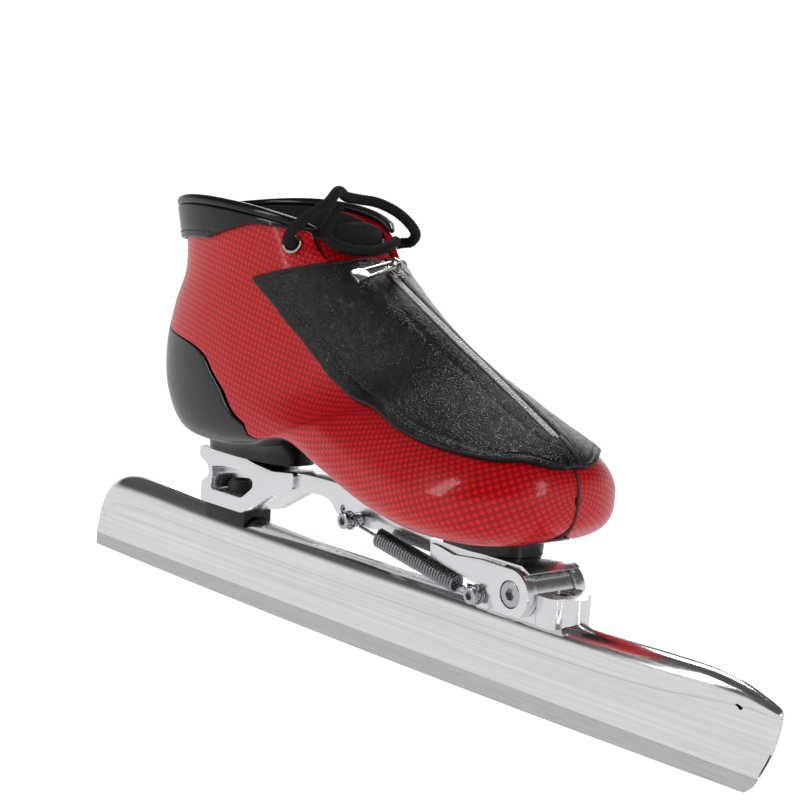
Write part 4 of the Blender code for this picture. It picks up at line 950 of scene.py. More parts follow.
def boot_sheet(rows, span, outer, inner, across, edge=0.9, flat=False):
    """A closed sheet on the boot; span(s) gives its two angles, outer and inner its distances out.

    outer and inner are called with (s, fraction across, angle, place); edges are rounded by edge.
    """
    bm = bmesh.new()
    layer = bm.verts.layers.float_vector.new("pattern")
    spots, normals = [], []
    for s in rows:
        low, high = span(s)
        angles = [low + (high - low) * t for t in across]
        spots.append([boot_skin(s, a) for a in angles])
        normals.append([boot_normal(s, a) for a in angles])
    laid = unrolled(spots) if flat else None
    ends = {0: 1.0, 1: 0.45, 2: 0.12}
    top, under = [], []
    for i, s in enumerate(rows):
        low, high = span(s)
        top.append([])
        under.append([])
        for j, t in enumerate(across):
            spot, normal = spots[i][j], normals[i][j]
            rim = min(j, len(across) - 1 - j, i, len(rows) - 1 - i)
            args = (s, t, low + (high - low) * t, spot)
            for side, depth, sign in ((top, outer, -1.0), (under, inner, 0.0)):
                vert = bm.verts.new(spot + normal * (depth(*args) + sign * edge * ends.get(rim, 0.0)))
                vert[layer] = laid[i][j] if flat else (spot.x, spot.z, spot.y)
                side[-1].append(vert)
    last_row, last_col = len(rows) - 1, len(across) - 1
    for i in range(last_row):
        for j in range(last_col):
            bm.faces.new((top[i][j], top[i][j + 1], top[i + 1][j + 1], top[i + 1][j]))
            bm.faces.new((under[i][j], under[i + 1][j], under[i + 1][j + 1], under[i][j + 1]))
    for i in range(last_row):
        bm.faces.new((top[i][0], top[i + 1][0], under[i + 1][0], under[i][0]))
        bm.faces.new((top[i + 1][-1], top[i][-1], under[i][-1], under[i + 1][-1]))
    for j in range(last_col):
        bm.faces.new((top[0][j + 1], top[0][j], under[0][j], under[0][j + 1]))
        bm.faces.new((top[-1][j], top[-1][j + 1], under[-1][j + 1], under[-1][j]))
    return bm


def low_edge(s):
    """Angle of the red side's lower edge, where it meets the black carbon cup and sole."""
    return eased(s, (
        (3.25, 179.3), (3.5, 148.0), (3.7, 127.0), (4.0, 108.0), (4.4, 97.5), (5.5, 92.0),
        (6.1, 92.5), (7.0, 95.0), (8.0, 112.0), (9.0, 125.0), (11.0, 140.0), (12.7, 153.0),
        (13.4, 161.0), (14.1, 169.0), (14.7, 179.3),
    )) if s > 3.5 else table(s, ((3.25, 179.3), (3.5, 145.0)))


def throat_edge(s):
    """Half angle of the lacing throat, closing to the seam over the toes."""
    return table(s, ((0.6, 40.0), (1.3, 33.0), (6.0, 24.0), (11.0, 12.0), (12.6, 0.5)))


def ripple(place, size, seed):
    """Smooth noise from -1 to 1 with features of a size in millimetres."""
    return noise.noise(Vector(place) / size + Vector((seed, 7.3 * seed, 1.7)))


def uppers():
    """Both red panels: shell thickness, a folded throat edge and slight waves in the cloth."""
    rows = [0.02, 0.05, 0.1] + steps_between(0.2, 3.2, 0.1) + steps_between(3.25, 4.4, 0.06)
    rows += steps_between(4.5, 15.2, 0.1) + steps_between(15.28, 16.8, 0.08) + [16.86, 16.92, 16.97]
    for name, side in (("upper_near", -1.0), ("upper_far", 1.0)):
        def span(s, side=side):
            return side * throat_edge(s), side * low_edge(s)

        def outer(s, t, angle, place):
            fold = 0.0
            if s < 11.0:
                reach = t * 70.0
                fold = 0.45 * max(0.0, 1.0 - (reach / 5.5) ** 4)
            return fold - 0.1 + 0.22 * ripple(place, 26.0, 3.0)

        bm = boot_sheet(rows, span, outer, lambda s, t, angle, place: -SHELL_THICK, columns(95.0, 46), 0.5,
                        flat=True)
        mesh_piece("woven_" + name, bm, woven_red, "boot", [name], 50)


def woven(name, lit_tow, shaded_tow, gap, clear, rough):
    """Plain-woven flat tows laid at 45 degrees under a clear coat; one tow direction is painted lighter as a
    painted glint, the other darker as painted shade, and the tows' edges take painted shade.
    """
    mat, tree, shader = finish(name, lit_tow, rough, IOR=1.5, Coat_Weight=clear, Coat_Roughness=0.1,
                               Specular_IOR_Level=0.18)
    laid = add(tree, "ShaderNodeAttribute", attribute_name="pattern").outputs["Vector"]
    turned_cloth = add(tree, "ShaderNodeVectorRotate", {"Vector": laid, "Angle": math.radians(45.0)},
                       rotation_type="Z_AXIS").outputs[0]
    tows = add(tree, "ShaderNodeVectorMath", {0: turned_cloth, 1: (1.0 / TOW,) * 3},
               operation="MULTIPLY").outputs[0]
    checks = add(tree, "ShaderNodeTexChecker", {"Vector": tows, "Scale": 1.0}).outputs["Fac"]
    split = add(tree, "ShaderNodeSeparateXYZ", {0: tows})
    crowns = []
    for axis in ("X", "Y"):
        near_edge = add(tree, "ShaderNodeMath", {0: split.outputs[axis]}, operation="FRACT").outputs[0]
        sine = add(tree, "ShaderNodeMath", {0: near_edge, 1: math.pi}, operation="MULTIPLY").outputs[0]
        crowns.append(add(tree, "ShaderNodeMath", {0: sine}, operation="SINE").outputs[0])
    crown = add(tree, "ShaderNodeMix", {0: checks, 2: crowns[0], 3: crowns[1]}).outputs[0]
    both = add(tree, "ShaderNodeMath", {0: crowns[0], 1: crowns[1]}, operation="MINIMUM").outputs[0]
    height = add(tree, "ShaderNodeMath", {0: crown, 1: both}, operation="ADD").outputs[0]
    # painted glint and painted shade: tows of one direction take the lighter red, the crossing tows the darker red
    tone = add(tree, "ShaderNodeMix", {0: checks, 6: linear(lit_tow), 7: linear(shaded_tow)}, data_type="RGBA").outputs[2]
    # painted shade: the edges of each tow fade to the dark gap colour, where the grooves between tows lie
    shadow = add(tree, "ShaderNodeMapRange", {"Value": both, "From Min": 0.0, "From Max": 0.22}).outputs["Result"]
    cloth = add(tree, "ShaderNodeMix", {0: shadow, 6: linear(gap), 7: tone}, data_type="RGBA").outputs[2]
    tree.links.new(cloth, shader.inputs["Base Color"])
    bump = add(tree, "ShaderNodeBump", {"Height": height, "Distance": 0.08 * MM, "Strength": 0.5})
    tree.links.new(bump.outputs["Normal"], shader.inputs["Normal"])
    return mat


# Glass cloth dyed red under clear vinyl: flat tows 1.7 mm wide that cross over and under, below a smooth glossy
# skin. The light and dark lozenges are painted: one tow direction in a lighter red as painted glint, the other in a
# darker red as painted shade, and painted shade darkens the grooves between tows.
woven_red = woven("red_glass_cloth_under_vinyl", "#E4101C", "#B0040F", "#6A0107", 0.32, 0.36)
uppers()


# ================================================================ toe seam
# The two panels are closed over the toe with a narrow turned seam, which runs down the front from
# the cover and on under the sole.

def toe_seam():
    """A thin raised bead in the joint between the panels."""
    line = [boot_point(s, 0.0, -0.35) for s in steps_between(15.5, 16.95, 0.05)]
    line += [boot_point(s, 180.0, -0.35) for s in reversed(steps_between(14.6, 16.95, 0.05))]
    bm = bmesh.new()
    tube(bm, even_route(line, 0.8), 12, 0.75)
    mesh_piece("toe_seam", bm, shaded_seam_vinyl, "boot", smooth=180.0)


# Turned vinyl edge: deep red painted almost black as painted shade in the joint, with a dull gloss.
shaded_seam_vinyl, tree, shader = finish("turned_vinyl_edge", "#3C0408", 0.5, IOR=1.5)
# painted shade: the bead's colour is kept almost black for the shade in the joint
shade = add(tree, "ShaderNodeMix", {0: streaks(tree, (700.0, 700.0, 700.0)), 6: linear("#22030A"), 7: linear("#560A0E")},
            data_type="RGBA")
tree.links.new(shade.outputs[2], shader.inputs["Base Color"])
toe_seam()


# ================================================================ carbon base
# Heel cup and sole moulded in one from carbon fibre: a fine plain weave, almost black, under a
# satin lacquer. Two carbon blocks bonded under it take the bolts.

def carbon_base():
    """The moulded cup and sole, which meets the red panels edge to edge."""
    rows = steps_between(3.42, 4.4, 0.06) + steps_between(4.5, 14.3, 0.1) + [14.35, 14.4]
    bm = boot_sheet(rows, lambda s: (low_edge(s) + 1.2, 358.8 - low_edge(s)),
                    lambda s, t, angle, place: -0.05, lambda s, t, angle, place: -SHELL_THICK,
                    columns(120.0, 48), 0.4)
    mesh_piece("moulded_carbon_base", bm, lacquered_carbon, "boot", ["carbon_base"], 50)


def mounting_blocks():
    """Two blocks under the sole: waisted, with an arched front, and shaped to the boot above."""
    heel = [(-112.0, -13.0), (-104.0, -20.0), (-80.0, -21.0), (-58.0, -16.0), (-50.0, -8.0)]
    ball = [(48.0, -13.0), (54.0, -20.0), (74.0, -22.0), (86.0, -16.0), (91.0, -8.0)]
    for name, plan, low, high, bolts in (
        ("heel_mount", heel, HEEL_TOP + 0.3, 84.0, HEEL_BOLTS),
        ("ball_mount", ball, PLATE_TOP + 0.3, 76.0, BALL_BOLTS),
    ):
        outline = rounded(plan + [(x, -y) for x, y in reversed(plan)], 6.0)
        middle = sum(x for x, _ in outline) / len(outline)
        rings = []
        for k in range(9):
            up = k / 8.0
            waist = 0.72 + 0.72 * up ** 2.6
            slim = 0.93 + 0.17 * up ** 2.6
            rings.append([Vector((middle + (x - middle) * slim, y * waist, low + (high - low) * up))
                          for x, y in outline])
        bm, form, bores = bmesh.new(), bmesh.new(), bmesh.new()
        loft(bm, rings)
        loft(form, [[boot_point(s, a * 360.0 / 60, 0.1) for a in range(60)]
                    for s in [LAST * i / 70.0 for i in range(70)] + [LAST - 0.02]])
        for x, y in bolts:
            turned(bores, ((low - 5.0, 2.8), (low + 6.5, 2.8)), (x, y, 0), (0, 0, 1), 24)
        bm = machine(bm, [("DIFFERENCE", form), ("DIFFERENCE", bores)])
        mesh_piece("bonded_" + name, bm, lacquered_carbon, "boot", [name], 30)


# Carbon laminate under satin lacquer: black, with a weave so faint that it only shows in glints.
lacquered_carbon, tree, shader = finish("lacquered_carbon_laminate", "#0A0A0C", 0.3, IOR=1.5,
                                        Coat_Weight=0.3, Coat_Roughness=0.12, Specular_IOR_Level=0.25)
spot = add(tree, "ShaderNodeTexCoord").outputs["Object"]
weave = add(tree, "ShaderNodeTexChecker", {"Vector": spot, "Scale": 1.0 / (1.5 * MM)}).outputs["Fac"]
shade = add(tree, "ShaderNodeMix", {0: weave, 6: linear("#0C0C0E"), 7: linear("#18181B")},
            data_type="RGBA")
tree.links.new(shade.outputs[2], shader.inputs["Base Color"])
grain = streaks(tree, (700.0, 700.0, 700.0), 3.0)
spread = add(tree, "ShaderNodeMapRange", {"Value": grain, "From Min": 0.3, "From Max": 0.7,
                                          "To Min": 0.24, "To Max": 0.4})
tree.links.new(spread.outputs["Result"], shader.inputs["Roughness"])
bump = add(tree, "ShaderNodeBump", {"Height": grain, "Distance": 0.03 * MM, "Strength": 0.3})
tree.links.new(bump.outputs["Normal"], shader.inputs["Normal"])
carbon_base()
mounting_blocks()


# ================================================================ instep cover
# Two halves of soft black sheep leather laid over the laces and closed by a zip. The lower edge is
# turned under and stitched; the ankle end creases where the foot flexes.

COVER_GAP, COVER_THICK = 1.2, 1.3
HALF_WIDTH, FULL_ANGLE = 62.0, 60.0      # a half is so many mm wide where it spans so many degrees
ZIP_HALF, ZIP_GAP = 1.7, 2.3   # half widths of the tape that shows and of the gap in the leather


COVER_EDGE = (
    (0.7, 8.0), (0.95, 29.0), (1.5, 53.0), (2.1, 77.0), (3.1, 66.0), (4.4, 57.5), (5.4, 54.5),
    (6.5, 54.0), (8.0, 56.5), (9.0, 57.5), (10.2, 57.0), (11.1, 54.0), (12.0, 50.5), (13.6, 46.0),
    (14.9, 34.0), (15.3, 28.0), (15.6, 16.0),
)


def cover_edge(s):
    """Half angle of the cover's lower edge, smoothed where it runs along the side of the foot."""
    smooth = min(1.0, max(0.0, (s - 2.3) / 0.8)) * min(1.0, max(0.0, (14.4 - s) / 0.8))
    return table(s, COVER_EDGE) * (1.0 - smooth) + (eased(s, COVER_EDGE[3:-1]) * smooth if smooth else 0.0)


def side_angle(s, width):
    """Angle at which the skin lies a given distance to one side of its top line."""
    half, power = station(s)[4], station(s)[6]
    return math.degrees(math.asin((width / half) ** (power / 2.0)))


def creases(s, angle, place):
    """Soft folds across the instep, deepest at the ankle and fading towards the toes."""
    depth = 0.25 + 0.75 * math.exp(-((s - 2.6) / 2.2) ** 2) + 0.35 * math.exp(-((s - 9.5) / 2.5) ** 2)
    bend = Vector((place.x * 1.0 + place.z * 0.35, place.y * 0.45, place.z * 0.5))
    broad = noise.noise(bend / 17.0 + Vector((3.1, 0.7, 9.2)))
    fine = 1.0 - abs(noise.noise(bend / 8.5 + Vector((11.7, 4.1, 2.2)))) * 2.4
    return depth * (0.55 * broad + 0.32 * max(0.0, fine) ** 2)


def instep_cover():
    """Both leather halves, with turned hems, a stitch groove and creases."""
    rows = [0.7, 0.74, 0.8] + steps_between(0.88, 2.2, 0.08) + steps_between(2.3, 14.1, 0.1)
    rows += steps_between(14.2, 15.4, 0.08) + [15.48, 15.55, 15.6]
    for name, side in (("cover_near", -1.0), ("cover_far", 1.0)):
        def span(s, side=side):
            gap = ZIP_GAP - (ZIP_GAP - 0.15) * min(1.0, max(0.0, (s - 13.65) / 0.3))
            return side * side_angle(s, gap), side * cover_edge(s)

        def outer(s, t, angle, place):
            wide = HALF_WIDTH * min(1.0, abs(angle) / FULL_ANGLE)
            reach, rim = (1.0 - t) * wide, t * wide
            fade = min(1.0, reach / 9.0, rim / 6.0)
            hem = 0.3 * max(0.0, 1.0 - (reach / 6.0) ** 6) - 0.28 * math.exp(-((reach - 6.4) / 0.8) ** 2)
            lip = 0.25 * max(0.0, 1.0 - (rim / 3.0) ** 4) - 0.2 * math.exp(-((rim - 3.4) / 0.7) ** 2)
            return COVER_GAP + COVER_THICK - 0.35 + hem + lip + fade * creases(s, angle, place) * 1.15

        bm = boot_sheet(rows, span, outer, lambda s, t, angle, place: 0.45, columns(60.0, 44), 0.6, flat=True)
        mesh_piece("sewn_" + name, bm, sheep_leather, "boot", [name], 60)


# Drum-dyed sheep leather: black with a fine irregular grain, drawn 0.9 mm across, and a soft sheen
# that breaks up along the creases.
sheep_leather, tree, shader = finish("drum_dyed_sheep_leather", "#121214", 0.36, IOR=1.48, Specular_IOR_Level=0.36)
laid = add(tree, "ShaderNodeAttribute", attribute_name="pattern").outputs["Vector"]
cells = add(tree, "ShaderNodeTexVoronoi", {"Vector": laid, "Scale": 1.1},
            feature="DISTANCE_TO_EDGE").outputs["Distance"]
valley = add(tree, "ShaderNodeMapRange", {"Value": cells, "From Min": 0.0, "From Max": 0.25}).outputs["Result"]
cloudy = add(tree, "ShaderNodeTexNoise", {"Vector": laid, "Scale": 0.35, "Detail": 5.0}).outputs["Fac"]
shade = add(tree, "ShaderNodeMix", {0: cloudy, 6: linear("#09090A"), 7: linear("#161619")},
            data_type="RGBA")
tree.links.new(shade.outputs[2], shader.inputs["Base Color"])
spread = add(tree, "ShaderNodeMapRange", {"Value": cloudy, "From Min": 0.3, "From Max": 0.7,
                                          "To Min": 0.28, "To Max": 0.42})
tree.links.new(spread.outputs["Result"], shader.inputs["Roughness"])
bump = add(tree, "ShaderNodeBump", {"Height": valley, "Distance": 0.2 * MM, "Strength": 0.6})
tree.links.new(bump.outputs["Normal"], shader.inputs["Normal"])
instep_cover()


# ================================================================ seams
# Bonded polyester thread, 0.5 mm thick, sewn at about nine stitches to the inch along the hems of
# the cover and the lower edge of the collar band.

def stitches(bm, line, length=2.3, gap=0.7, radius=0.3):
    """Short bowed lengths of thread along a line of (place, normal) pairs."""
    places = [p for p, _ in line]
    reach = [0.0]
    for a, b in zip(places, places[1:]):
        reach.append(reach[-1] + (b - a).length)

    def at(d):
        k = 0
        while k < len(reach) - 2 and reach[k + 1] < d:
            k += 1
        t = (d - reach[k]) / max(reach[k + 1] - reach[k], 1e-9)
        return places[k].lerp(places[k + 1], t), line[k][1].lerp(line[k + 1][1], t)

    d = gap
    while d + length < reach[-1]:
        points = []
        for i in range(6):
            spot, normal = at(d + length * i / 5.0)
            points.append(spot + normal * (radius * 0.9 * math.sin(math.pi * i / 5.0) - radius * 0.35))
        tube(bm, points, 6, lambda t: radius * (0.55 + 0.45 * math.sin(math.pi * min(1.0, max(0.0, t)))))
        d += length + gap


def sewn(name, lines):
    """One piece of thread for a set of seams."""
    bm = bmesh.new()
    for line in lines:
        stitches(bm, line)
    mesh_piece(name, bm, thread, "boot", smooth=180.0)


# Bonded polyester thread: black, a little glossy, with a slow variation along each stitch.
thread, tree, shader = finish("bonded_polyester_thread", "#1C1C1F", 0.45, Sheen_Weight=0.2)
twist = streaks(tree, (1500.0, 1500.0, 1500.0), 2.0)
shade = add(tree, "ShaderNodeMix", {0: twist, 6: linear("#111113"), 7: linear("#303034")},
            data_type="RGBA")
tree.links.new(shade.outputs[2], shader.inputs["Base Color"])
bump = add(tree, "ShaderNodeBump", {"Height": twist, "Distance": 0.04 * MM, "Strength": 0.5})
tree.links.new(bump.outputs["Normal"], shader.inputs["Normal"])
HEM_INSET, ZIP_INSET = 6.4, 3.4   # distance of each seam from the edge that it follows
hems = []
for side in (-1.0, 1.0):
    line = []
    for s in steps_between(1.9, 15.0, 0.08):
        edge = cover_edge(s)
        angle = side * edge * (1.0 - HEM_INSET / (HALF_WIDTH * min(1.0, edge / FULL_ANGLE)))
        line.append((boot_point(s, angle, 2.0), boot_normal(s, angle)))
    hems.append(line)
    line = []
    for s in steps_between(1.2, 14.0, 0.08):
        low, high = side_angle(s, ZIP_GAP), cover_edge(s)
        angle = side * (low + (high - low) * ZIP_INSET / (HALF_WIDTH * min(1.0, high / FULL_ANGLE)))
        line.append((boot_point(s, angle, 2.05), boot_normal(s, angle)))
    hems.append(line)
sewn("cover_stitching", hems)


# ================================================================ zip
# A moulded coil zip on a reflective tape: two rows of teeth that mesh down the middle of the cover,
# silver all over, with a narrow dark margin of tape at each side.

TOOTH_PITCH = 1.3


def zip_teeth():
    """Tape strip with two rows of rounded teeth, alternating from side to side."""
    rows = steps_between(0.74, 13.9, 0.1)
    bm = boot_sheet(rows, lambda s: (-side_angle(s, ZIP_HALF + 0.3), side_angle(s, ZIP_HALF + 0.3)),
                    lambda s, t, angle, place: 1.75, lambda s, t, angle, place: 0.9,
                    [0.0, 0.1, 0.35, 0.5, 0.65, 0.9, 1.0], 0.1)
    mesh_piece("zip_tape", bm, tape_fabric, "boot", ["zip_chain"], 60)
    line = even_route([boot_skin(s, 0.0) for s in steps_between(0.8, 13.86, 0.02)], TOOTH_PITCH / 2)
    teeth = bmesh.new()
    for i, spot in enumerate(line[1:-1], 1):
        along = (line[i + 1] - line[i - 1]).normalized()
        across = Vector((0.0, 0.0, 1.0)).cross(along).normalized()
        up = along.cross(across)
        side = 1.0 if i % 2 else -1.0
        base = spot + up * 1.55
        rings = []
        for reach, half, high in ((-0.35, 0.3, 0.5), (-0.15, 0.42, 0.78), (0.9, 0.42, 0.85), (1.5, 0.4, 0.75),
                                  (1.68, 0.3, 0.5)):
            ring = [(-half, 0.0), (half, 0.0), (half, high * 0.7), (half * 0.5, high), (-half * 0.5, high),
                    (-half, high * 0.7)]
            rings.append([base + across * side * reach + along * x + up * z for x, z in ring])
        loft(teeth, rings)
    mesh_piece("zip_teeth", teeth, silver_teeth, "boot", smooth=50.0)


# Woven polyester tape: black and matt, with a fine rib.
tape_fabric, tree, shader = finish("woven_polyester_tape", "#1A1A1C", 0.75, Sheen_Weight=0.2)
rib = streaks(tree, (1800.0, 1800.0, 1800.0), 2.0)
shade = add(tree, "ShaderNodeMix", {0: rib, 6: linear("#131315"), 7: linear("#3A3A3E")},
            data_type="RGBA")
tree.links.new(shade.outputs[2], shader.inputs["Base Color"])
bump = add(tree, "ShaderNodeBump", {"Height": rib, "Distance": 0.08 * MM, "Strength": 0.6})
tree.links.new(bump.outputs["Normal"], shader.inputs["Normal"])
# Metallised reflective coil: pale silver with a grainy glitter of glass beads, drawn 0.4 mm wide.
silver_teeth, tree, shader = finish("metallised_zip_coil", "#D9DADD", 0.36, Metallic=0.75)
beads = streaks(tree, (2500.0, 2500.0, 2500.0), 2.0)
spread = add(tree, "ShaderNodeMapRange", {"Value": beads, "From Min": 0.3, "From Max": 0.7,
                                          "To Min": 0.2, "To Max": 0.55})
tree.links.new(spread.outputs["Result"], shader.inputs["Roughness"])
shade = add(tree, "ShaderNodeMix", {0: beads, 6: linear("#B4B5B9"), 7: linear("#F4F5F6")},
            data_type="RGBA")
tree.links.new(shade.outputs[2], shader.inputs["Base Color"])
bump = add(tree, "ShaderNodeBump", {"Height": beads, "Distance": 0.05 * MM, "Strength": 0.7})
tree.links.new(bump.outputs["Normal"], shader.inputs["Normal"])
zip_teeth()


# ================================================================ zip slider and pull
# Die-cast zinc, nickel plated: a wedge-shaped slider that runs on the teeth, its raised bail, and a
# framed pull tab that hangs from the bail to the near side.

SLIDER_X, SLIDER_RISE, BAIL_UP = -1.0, 3.3, 4.6
PULL_DROP, PULL_LENGTH = 19.0, 20.0


def zip_frame():
    """Axes on the zip: X down towards the toes, Y across, Z out of the boot."""
    low, high = boot_skin(13.0, 0.0), boot_skin(3.0, 0.0)
    along = (low - high).normalized()
    across = Vector((0.0, 0.0, 1.0)).cross(along).normalized()
    out = along.cross(across)
    place = high + along * (SLIDER_X - high.x) / along.x + out * SLIDER_RISE
    return Matrix.Translation(place) @ Matrix((along, across, out)).transposed().to_4x4()


def slider_and_pull():
    """Slider body and bail in one casting; ring, frame and end block of the pull in another."""
    axes = zip_frame()
    body, bail = bmesh.new(), bmesh.new()
    plan = rounded([(-4.5, -1.7), (0.0, -2.7), (4.3, -2.7), (4.3, 2.7), (0.0, 2.7), (-4.5, 1.7)], 1.0)
    for low, high, slim in ((0.0, 0.75, 1.0), (0.7, 1.5, 0.62), (1.45, 2.2, 1.0)):
        part = body if low == 0.0 else bmesh.new()
        loft(part, [[Vector((x, y * slim, z)) for x, y in plan] for z in (low, high)])
        if part is not body:
            body = machine(body, [("UNION", part)])
    arch = [(-3.4, 1.9), (-3.4, 3.6), (-2.4, 4.9), (-1.0, 5.2), (1.0, 5.2), (2.4, 4.9), (3.4, 3.6), (3.4, 1.9),
            (2.5, 1.9), (2.5, 3.3), (1.9, 4.0), (0.8, 4.15), (-0.8, 4.15), (-1.9, 4.0), (-2.5, 3.3), (-2.5, 1.9)]
    prism(bail, arch, -0.62, 0.62)
    bm = machine(body, [("UNION", bail)], 0.18)
    bmesh.ops.transform(bm, matrix=axes, verts=bm.verts)
    mesh_piece("cast_slider", bm, nickel_zinc, "slider", ["zip_slider"], 45)
    swing = Matrix.Translation((0, 0, BAIL_UP)) @ Matrix.Rotation(math.radians(PULL_DROP), 4, "X")
    eye, frame_plate, end, window = bmesh.new(), bmesh.new(), bmesh.new(), bmesh.new()
    turned(eye, ((-1.6, 2.0), (1.6, 2.0)), (0, 0, 0), (1, 0, 0), 28)
    side = rounded([(-2.2, -1.4), (2.2, -1.4), (3.2, -PULL_LENGTH), (-3.2, -PULL_LENGTH)], 0.8)
    loft(frame_plate, [[Vector((x, y, z)) for x, y in side] for z in (-0.6, 0.6)])
    cap = rounded([(-3.4, -15.5), (3.4, -15.5), (3.6, -PULL_LENGTH - 0.4), (-3.6, -PULL_LENGTH - 0.4)], 0.9)
    loft(end, [[Vector((x, y, z)) for x, y in cap] for z in (-0.9, 0.9)])
    hole = rounded([(-1.4, -3.4), (1.4, -3.4), (2.1, -14.0), (-2.1, -14.0)], 0.7)
    loft(window, [[Vector((x, y, z)) for x, y in hole] for z in (-2.0, 2.0)])
    bore = bmesh.new()
    turned(bore, ((-2.6, 1.15), (2.6, 1.15)), (0, 0, 0), (1, 0, 0), 28)
    steps = [("UNION", eye), ("UNION", end), ("DIFFERENCE", window), ("DIFFERENCE", bore)]
    bm = machine(frame_plate, steps, 0.2)
    bmesh.ops.transform(bm, matrix=axes @ swing, verts=bm.verts)
    mesh_piece("cast_pull", bm, nickel_zinc, "pull_tab", ["zip_pull"], 45)


# Nickel plated zinc casting: a warm grey mirror with slightly wavy highlights.
nickel_zinc, tree, shader = finish("nickel_plated_zinc_casting", "#C3BFB8", 0.16, Metallic=1.0)
wave = streaks(tree, (350.0, 350.0, 350.0), 3.0)
spread = add(tree, "ShaderNodeMapRange", {"Value": wave, "From Min": 0.3, "From Max": 0.7,
                                          "To Min": 0.1, "To Max": 0.26})
tree.links.new(spread.outputs["Result"], shader.inputs["Roughness"])
bump = add(tree, "ShaderNodeBump", {"Height": wave, "Distance": 0.06 * MM, "Strength": 0.4})
tree.links.new(bump.outputs["Normal"], shader.inputs["Normal"])
slider_and_pull()


# ================================================================ eyelets
# Two rolled brass eyelets, nickel plated, clenched through the side panels at the top of the throat.

def eyelets():
    """Rolled rim outside and a plain barrel through the panel."""
    profile = [(2.75, -2.9), (3.05, -2.9), (3.05, 0.9), (4.15, 0.9)]
    profile += [(3.5 + 0.8 * math.cos(math.radians(a)), 1.0 + 0.8 * math.sin(math.radians(a)))
                for a in range(0, 181, 20)]
    for name, side in (("eyelet_near", -1.0), ("eyelet_far", 1.0)):
        spot, facing = boot_skin(EYELET[0], side * EYELET[1]), boot_normal(EYELET[0], side * EYELET[1])
        turn = Vector((0.0, 0.0, 1.0)).rotation_difference(facing).to_matrix()
        bm = bmesh.new()
        rows = []
        for radius, distance in profile:
            rows.append([bm.verts.new(turn @ Vector((radius * math.cos(a), radius * math.sin(a), distance)) + spot)
                         for a in [2.0 * math.pi * k / 40 for k in range(40)]])
        for i, row in enumerate(rows):
            other = rows[(i + 1) % len(rows)]
            for k in range(40):
                n = (k + 1) % 40
                bm.faces.new((row[k], row[n], other[n], other[k]))
        mesh_piece(name + "_rolled", bm, nickel_zinc, "boot", [name], 50)


eyelets()


# ================================================================ collar
# A band of black patent leather round the ankle, its lower edge stitched down, with a rolled piping
# on the top edge. A strip of plain leather covers the heel seam below it.

def band_span(s):
    """The band narrows towards its front ends, above the eyelets."""
    front = table(s, ((0.12, 45.0), (0.22, 56.0), (0.38, 74.0), (0.95, 104.0)))
    return front, 360.0 - front


def collar():
    """Band, piping and gusset."""
    rows = [0.03, 0.05, 0.08] + steps_between(0.12, 0.86, 0.04) + [0.9, 0.93, 0.95]

    def outer(s, t, angle, place):
        lower = (0.95 - s) * 14.0
        groove = 0.3 * math.exp(-((lower - 2.6) / 0.6) ** 2)
        return COVER_GAP + 1.15 + 0.16 * ripple(place, 15.0, 5.0) - groove

    bm = boot_sheet(rows, band_span, outer, lambda s, t, angle, place: 0.5, columns(230.0, 110), 0.5)
    mesh_piece("patent_band", bm, patent_leather, "boot", ["collar_band"], 60)
    ring = [boot_point(0.0, a, 0.4) + Vector((0, 0, 1.7)) for a in steps_between(36.0, 324.0, 2.0)]
    bm = bmesh.new()
    tube(bm, ring, 20, lambda t: 2.2 * min(1.0, 0.35 + 18.0 * min(t, 1.0 - t)))
    mesh_piece("rolled_piping", bm, patent_leather, "boot", ["collar_piping"], 180)
    bm = boot_sheet(steps_between(1.05, 3.2, 0.1), lambda s: (176.5, 183.5),
                    lambda s, t, angle, place: 1.6 - 2.4 * (t - 0.5) ** 2 + 0.1 * ripple(place, 6.0, 2.0),
                    lambda s, t, angle, place: 0.3, columns(11.0, 8, 0.8), 0.3)
    mesh_piece("heel_strip", bm, sheep_leather, "boot", ["heel_gusset"], 60)


# Patent leather: black under a thick clear lacquer, so a near mirror with slow waves in it.
patent_leather, tree, shader = finish("lacquered_patent_leather", "#070708", 0.35, IOR=1.5, Coat_Weight=0.4,
                                      Coat_Roughness=0.03, Specular_IOR_Level=0.1)
waviness = streaks(tree, (120.0, 120.0, 120.0), 3.0)
shade = add(tree, "ShaderNodeMix", {0: waviness, 6: linear("#050506"), 7: linear("#0C0C0E")},
            data_type="RGBA")
tree.links.new(shade.outputs[2], shader.inputs["Base Color"])
bump = add(tree, "ShaderNodeBump", {"Height": waviness, "Distance": 0.25 * MM, "Strength": 0.35})
tree.links.new(bump.outputs["Normal"], shader.inputs["Normal"])
collar()
band_lines = [[(boot_point(0.78, a, 2.2), boot_normal(0.78, a)) for a in steps_between(98.0, 262.0, 1.0)]]
sewn("collar_stitching", band_lines)


# ================================================================ lining, tongue and footbed
# The ankle is lined with a padded black knit over foam. The tongue is faced with the same red cloth
# as the sides and ends in a soft padded tip. A knit-covered footbed lies in the sole.

def lining():
    """Padded ankle lining with a puffed top edge and soft channels."""
    def outer(s, t, angle, place):
        return -4.1 - 0.35 * math.exp(-((s - 0.9) / 0.1) ** 2)

    def inner(s, t, angle, place):
        puff = 0.9 * math.sin(math.pi * min(1.0, s / 0.9)) if s < 0.9 else 0.5
        seam = 0.8 * math.exp(-((s - 0.9) / 0.07) ** 2) + 0.7 * math.exp(-(((angle - 180.0) / 3.0) ** 2))
        return -5.9 - puff + seam + 0.3 * ripple(place, 13.0, 8.0)

    rows = [0.02, 0.05, 0.1] + steps_between(0.18, 5.9, 0.1) + [6.0, 6.05, 6.08]
    bm = boot_sheet(rows, lambda s: (46.0, 314.0), outer, inner, columns(190.0, 90), 0.6)
    piece = mesh_piece("padded_lining", bm, foam_knit, "boot", ["ankle_lining"], 180)


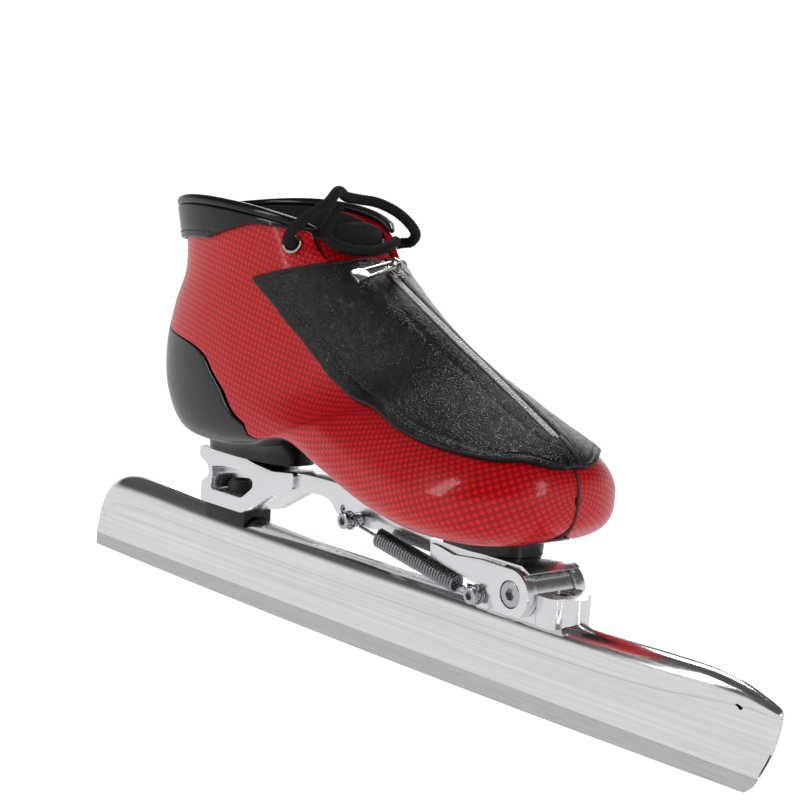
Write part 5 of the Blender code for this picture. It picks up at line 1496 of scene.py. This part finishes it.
def tongue():
    """Red-faced tongue and its padded tip."""
    rows = [0.0, 0.03, 0.08] + steps_between(0.15, 8.8, 0.12) + [8.9, 8.96, 9.0]
    bm = boot_sheet(rows, lambda s: (-38.0, 38.0), lambda s, t, angle, place: -3.0 + 0.2 * ripple(place, 14.0, 6.0),
                    lambda s, t, angle, place: -6.9, columns(45.0, 26), 0.7, flat=True)
    mesh_piece("faced_tongue", bm, woven_red, "boot", ["tongue"], 180)
    bm = bmesh.new()
    bm.verts.layers.float_vector.new("pattern")
    rings = []
    for k in range(25):
        up = 0.6 + 12.4 * k / 24.0
        ring = []
        angles = steps_between(-34.0, 34.0, 2.0)
        for side in (0, 1):
            for a in (angles if side == 0 else list(reversed(angles))):
                fade = 1.0 - 0.75 * (abs(a) / 34.0) ** 2 * up / 13.0
                edge = math.sqrt(max(0.0, 1.0 - (abs(a) / 36.0) ** 6)) * math.sqrt(max(0.04, 1.0 - (k / 24.4) ** 8))
                puff = 1.9 * edge * (0.82 + 0.18 * math.sin(math.pi * k / 8.0) ** 2)
                middle = boot_point(0.0, a, -5.0) + Vector((-0.35, 0.0, 0.94)) * up * fade
                normal = boot_normal(0.0, a)
                ring.append(middle + normal * (puff if side == 0 else -puff))
        rings.append(ring)
    loft(bm, rings)
    piece = mesh_piece("padded_tongue_tip", bm, foam_knit, "boot", ["tongue_tip"], 180)


# Knitted polyester over foam: matt black with a velvety edge and fine loops, drawn 0.8 mm apart.
foam_knit, tree, shader = finish("knitted_polyester_over_foam", "#101012", 0.9, Sheen_Weight=0.15,
                                 Sheen_Roughness=0.45, Sheen_Tint=linear("#55555B"))
spot = add(tree, "ShaderNodeTexCoord").outputs["Object"]
loops = add(tree, "ShaderNodeTexVoronoi", {"Vector": spot, "Scale": 1.0 / (0.8 * MM)}).outputs["Distance"]
shade = add(tree, "ShaderNodeMix", {0: loops, 6: linear("#232327"), 7: linear("#0C0C0E")},
            data_type="RGBA")
tree.links.new(shade.outputs[2], shader.inputs["Base Color"])
bump = add(tree, "ShaderNodeBump", {"Height": loops, "Distance": -0.25 * MM, "Strength": 0.6})
tree.links.new(bump.outputs["Normal"], shader.inputs["Normal"])
lining()
tongue()
repaint(foam_knit, "footbed")
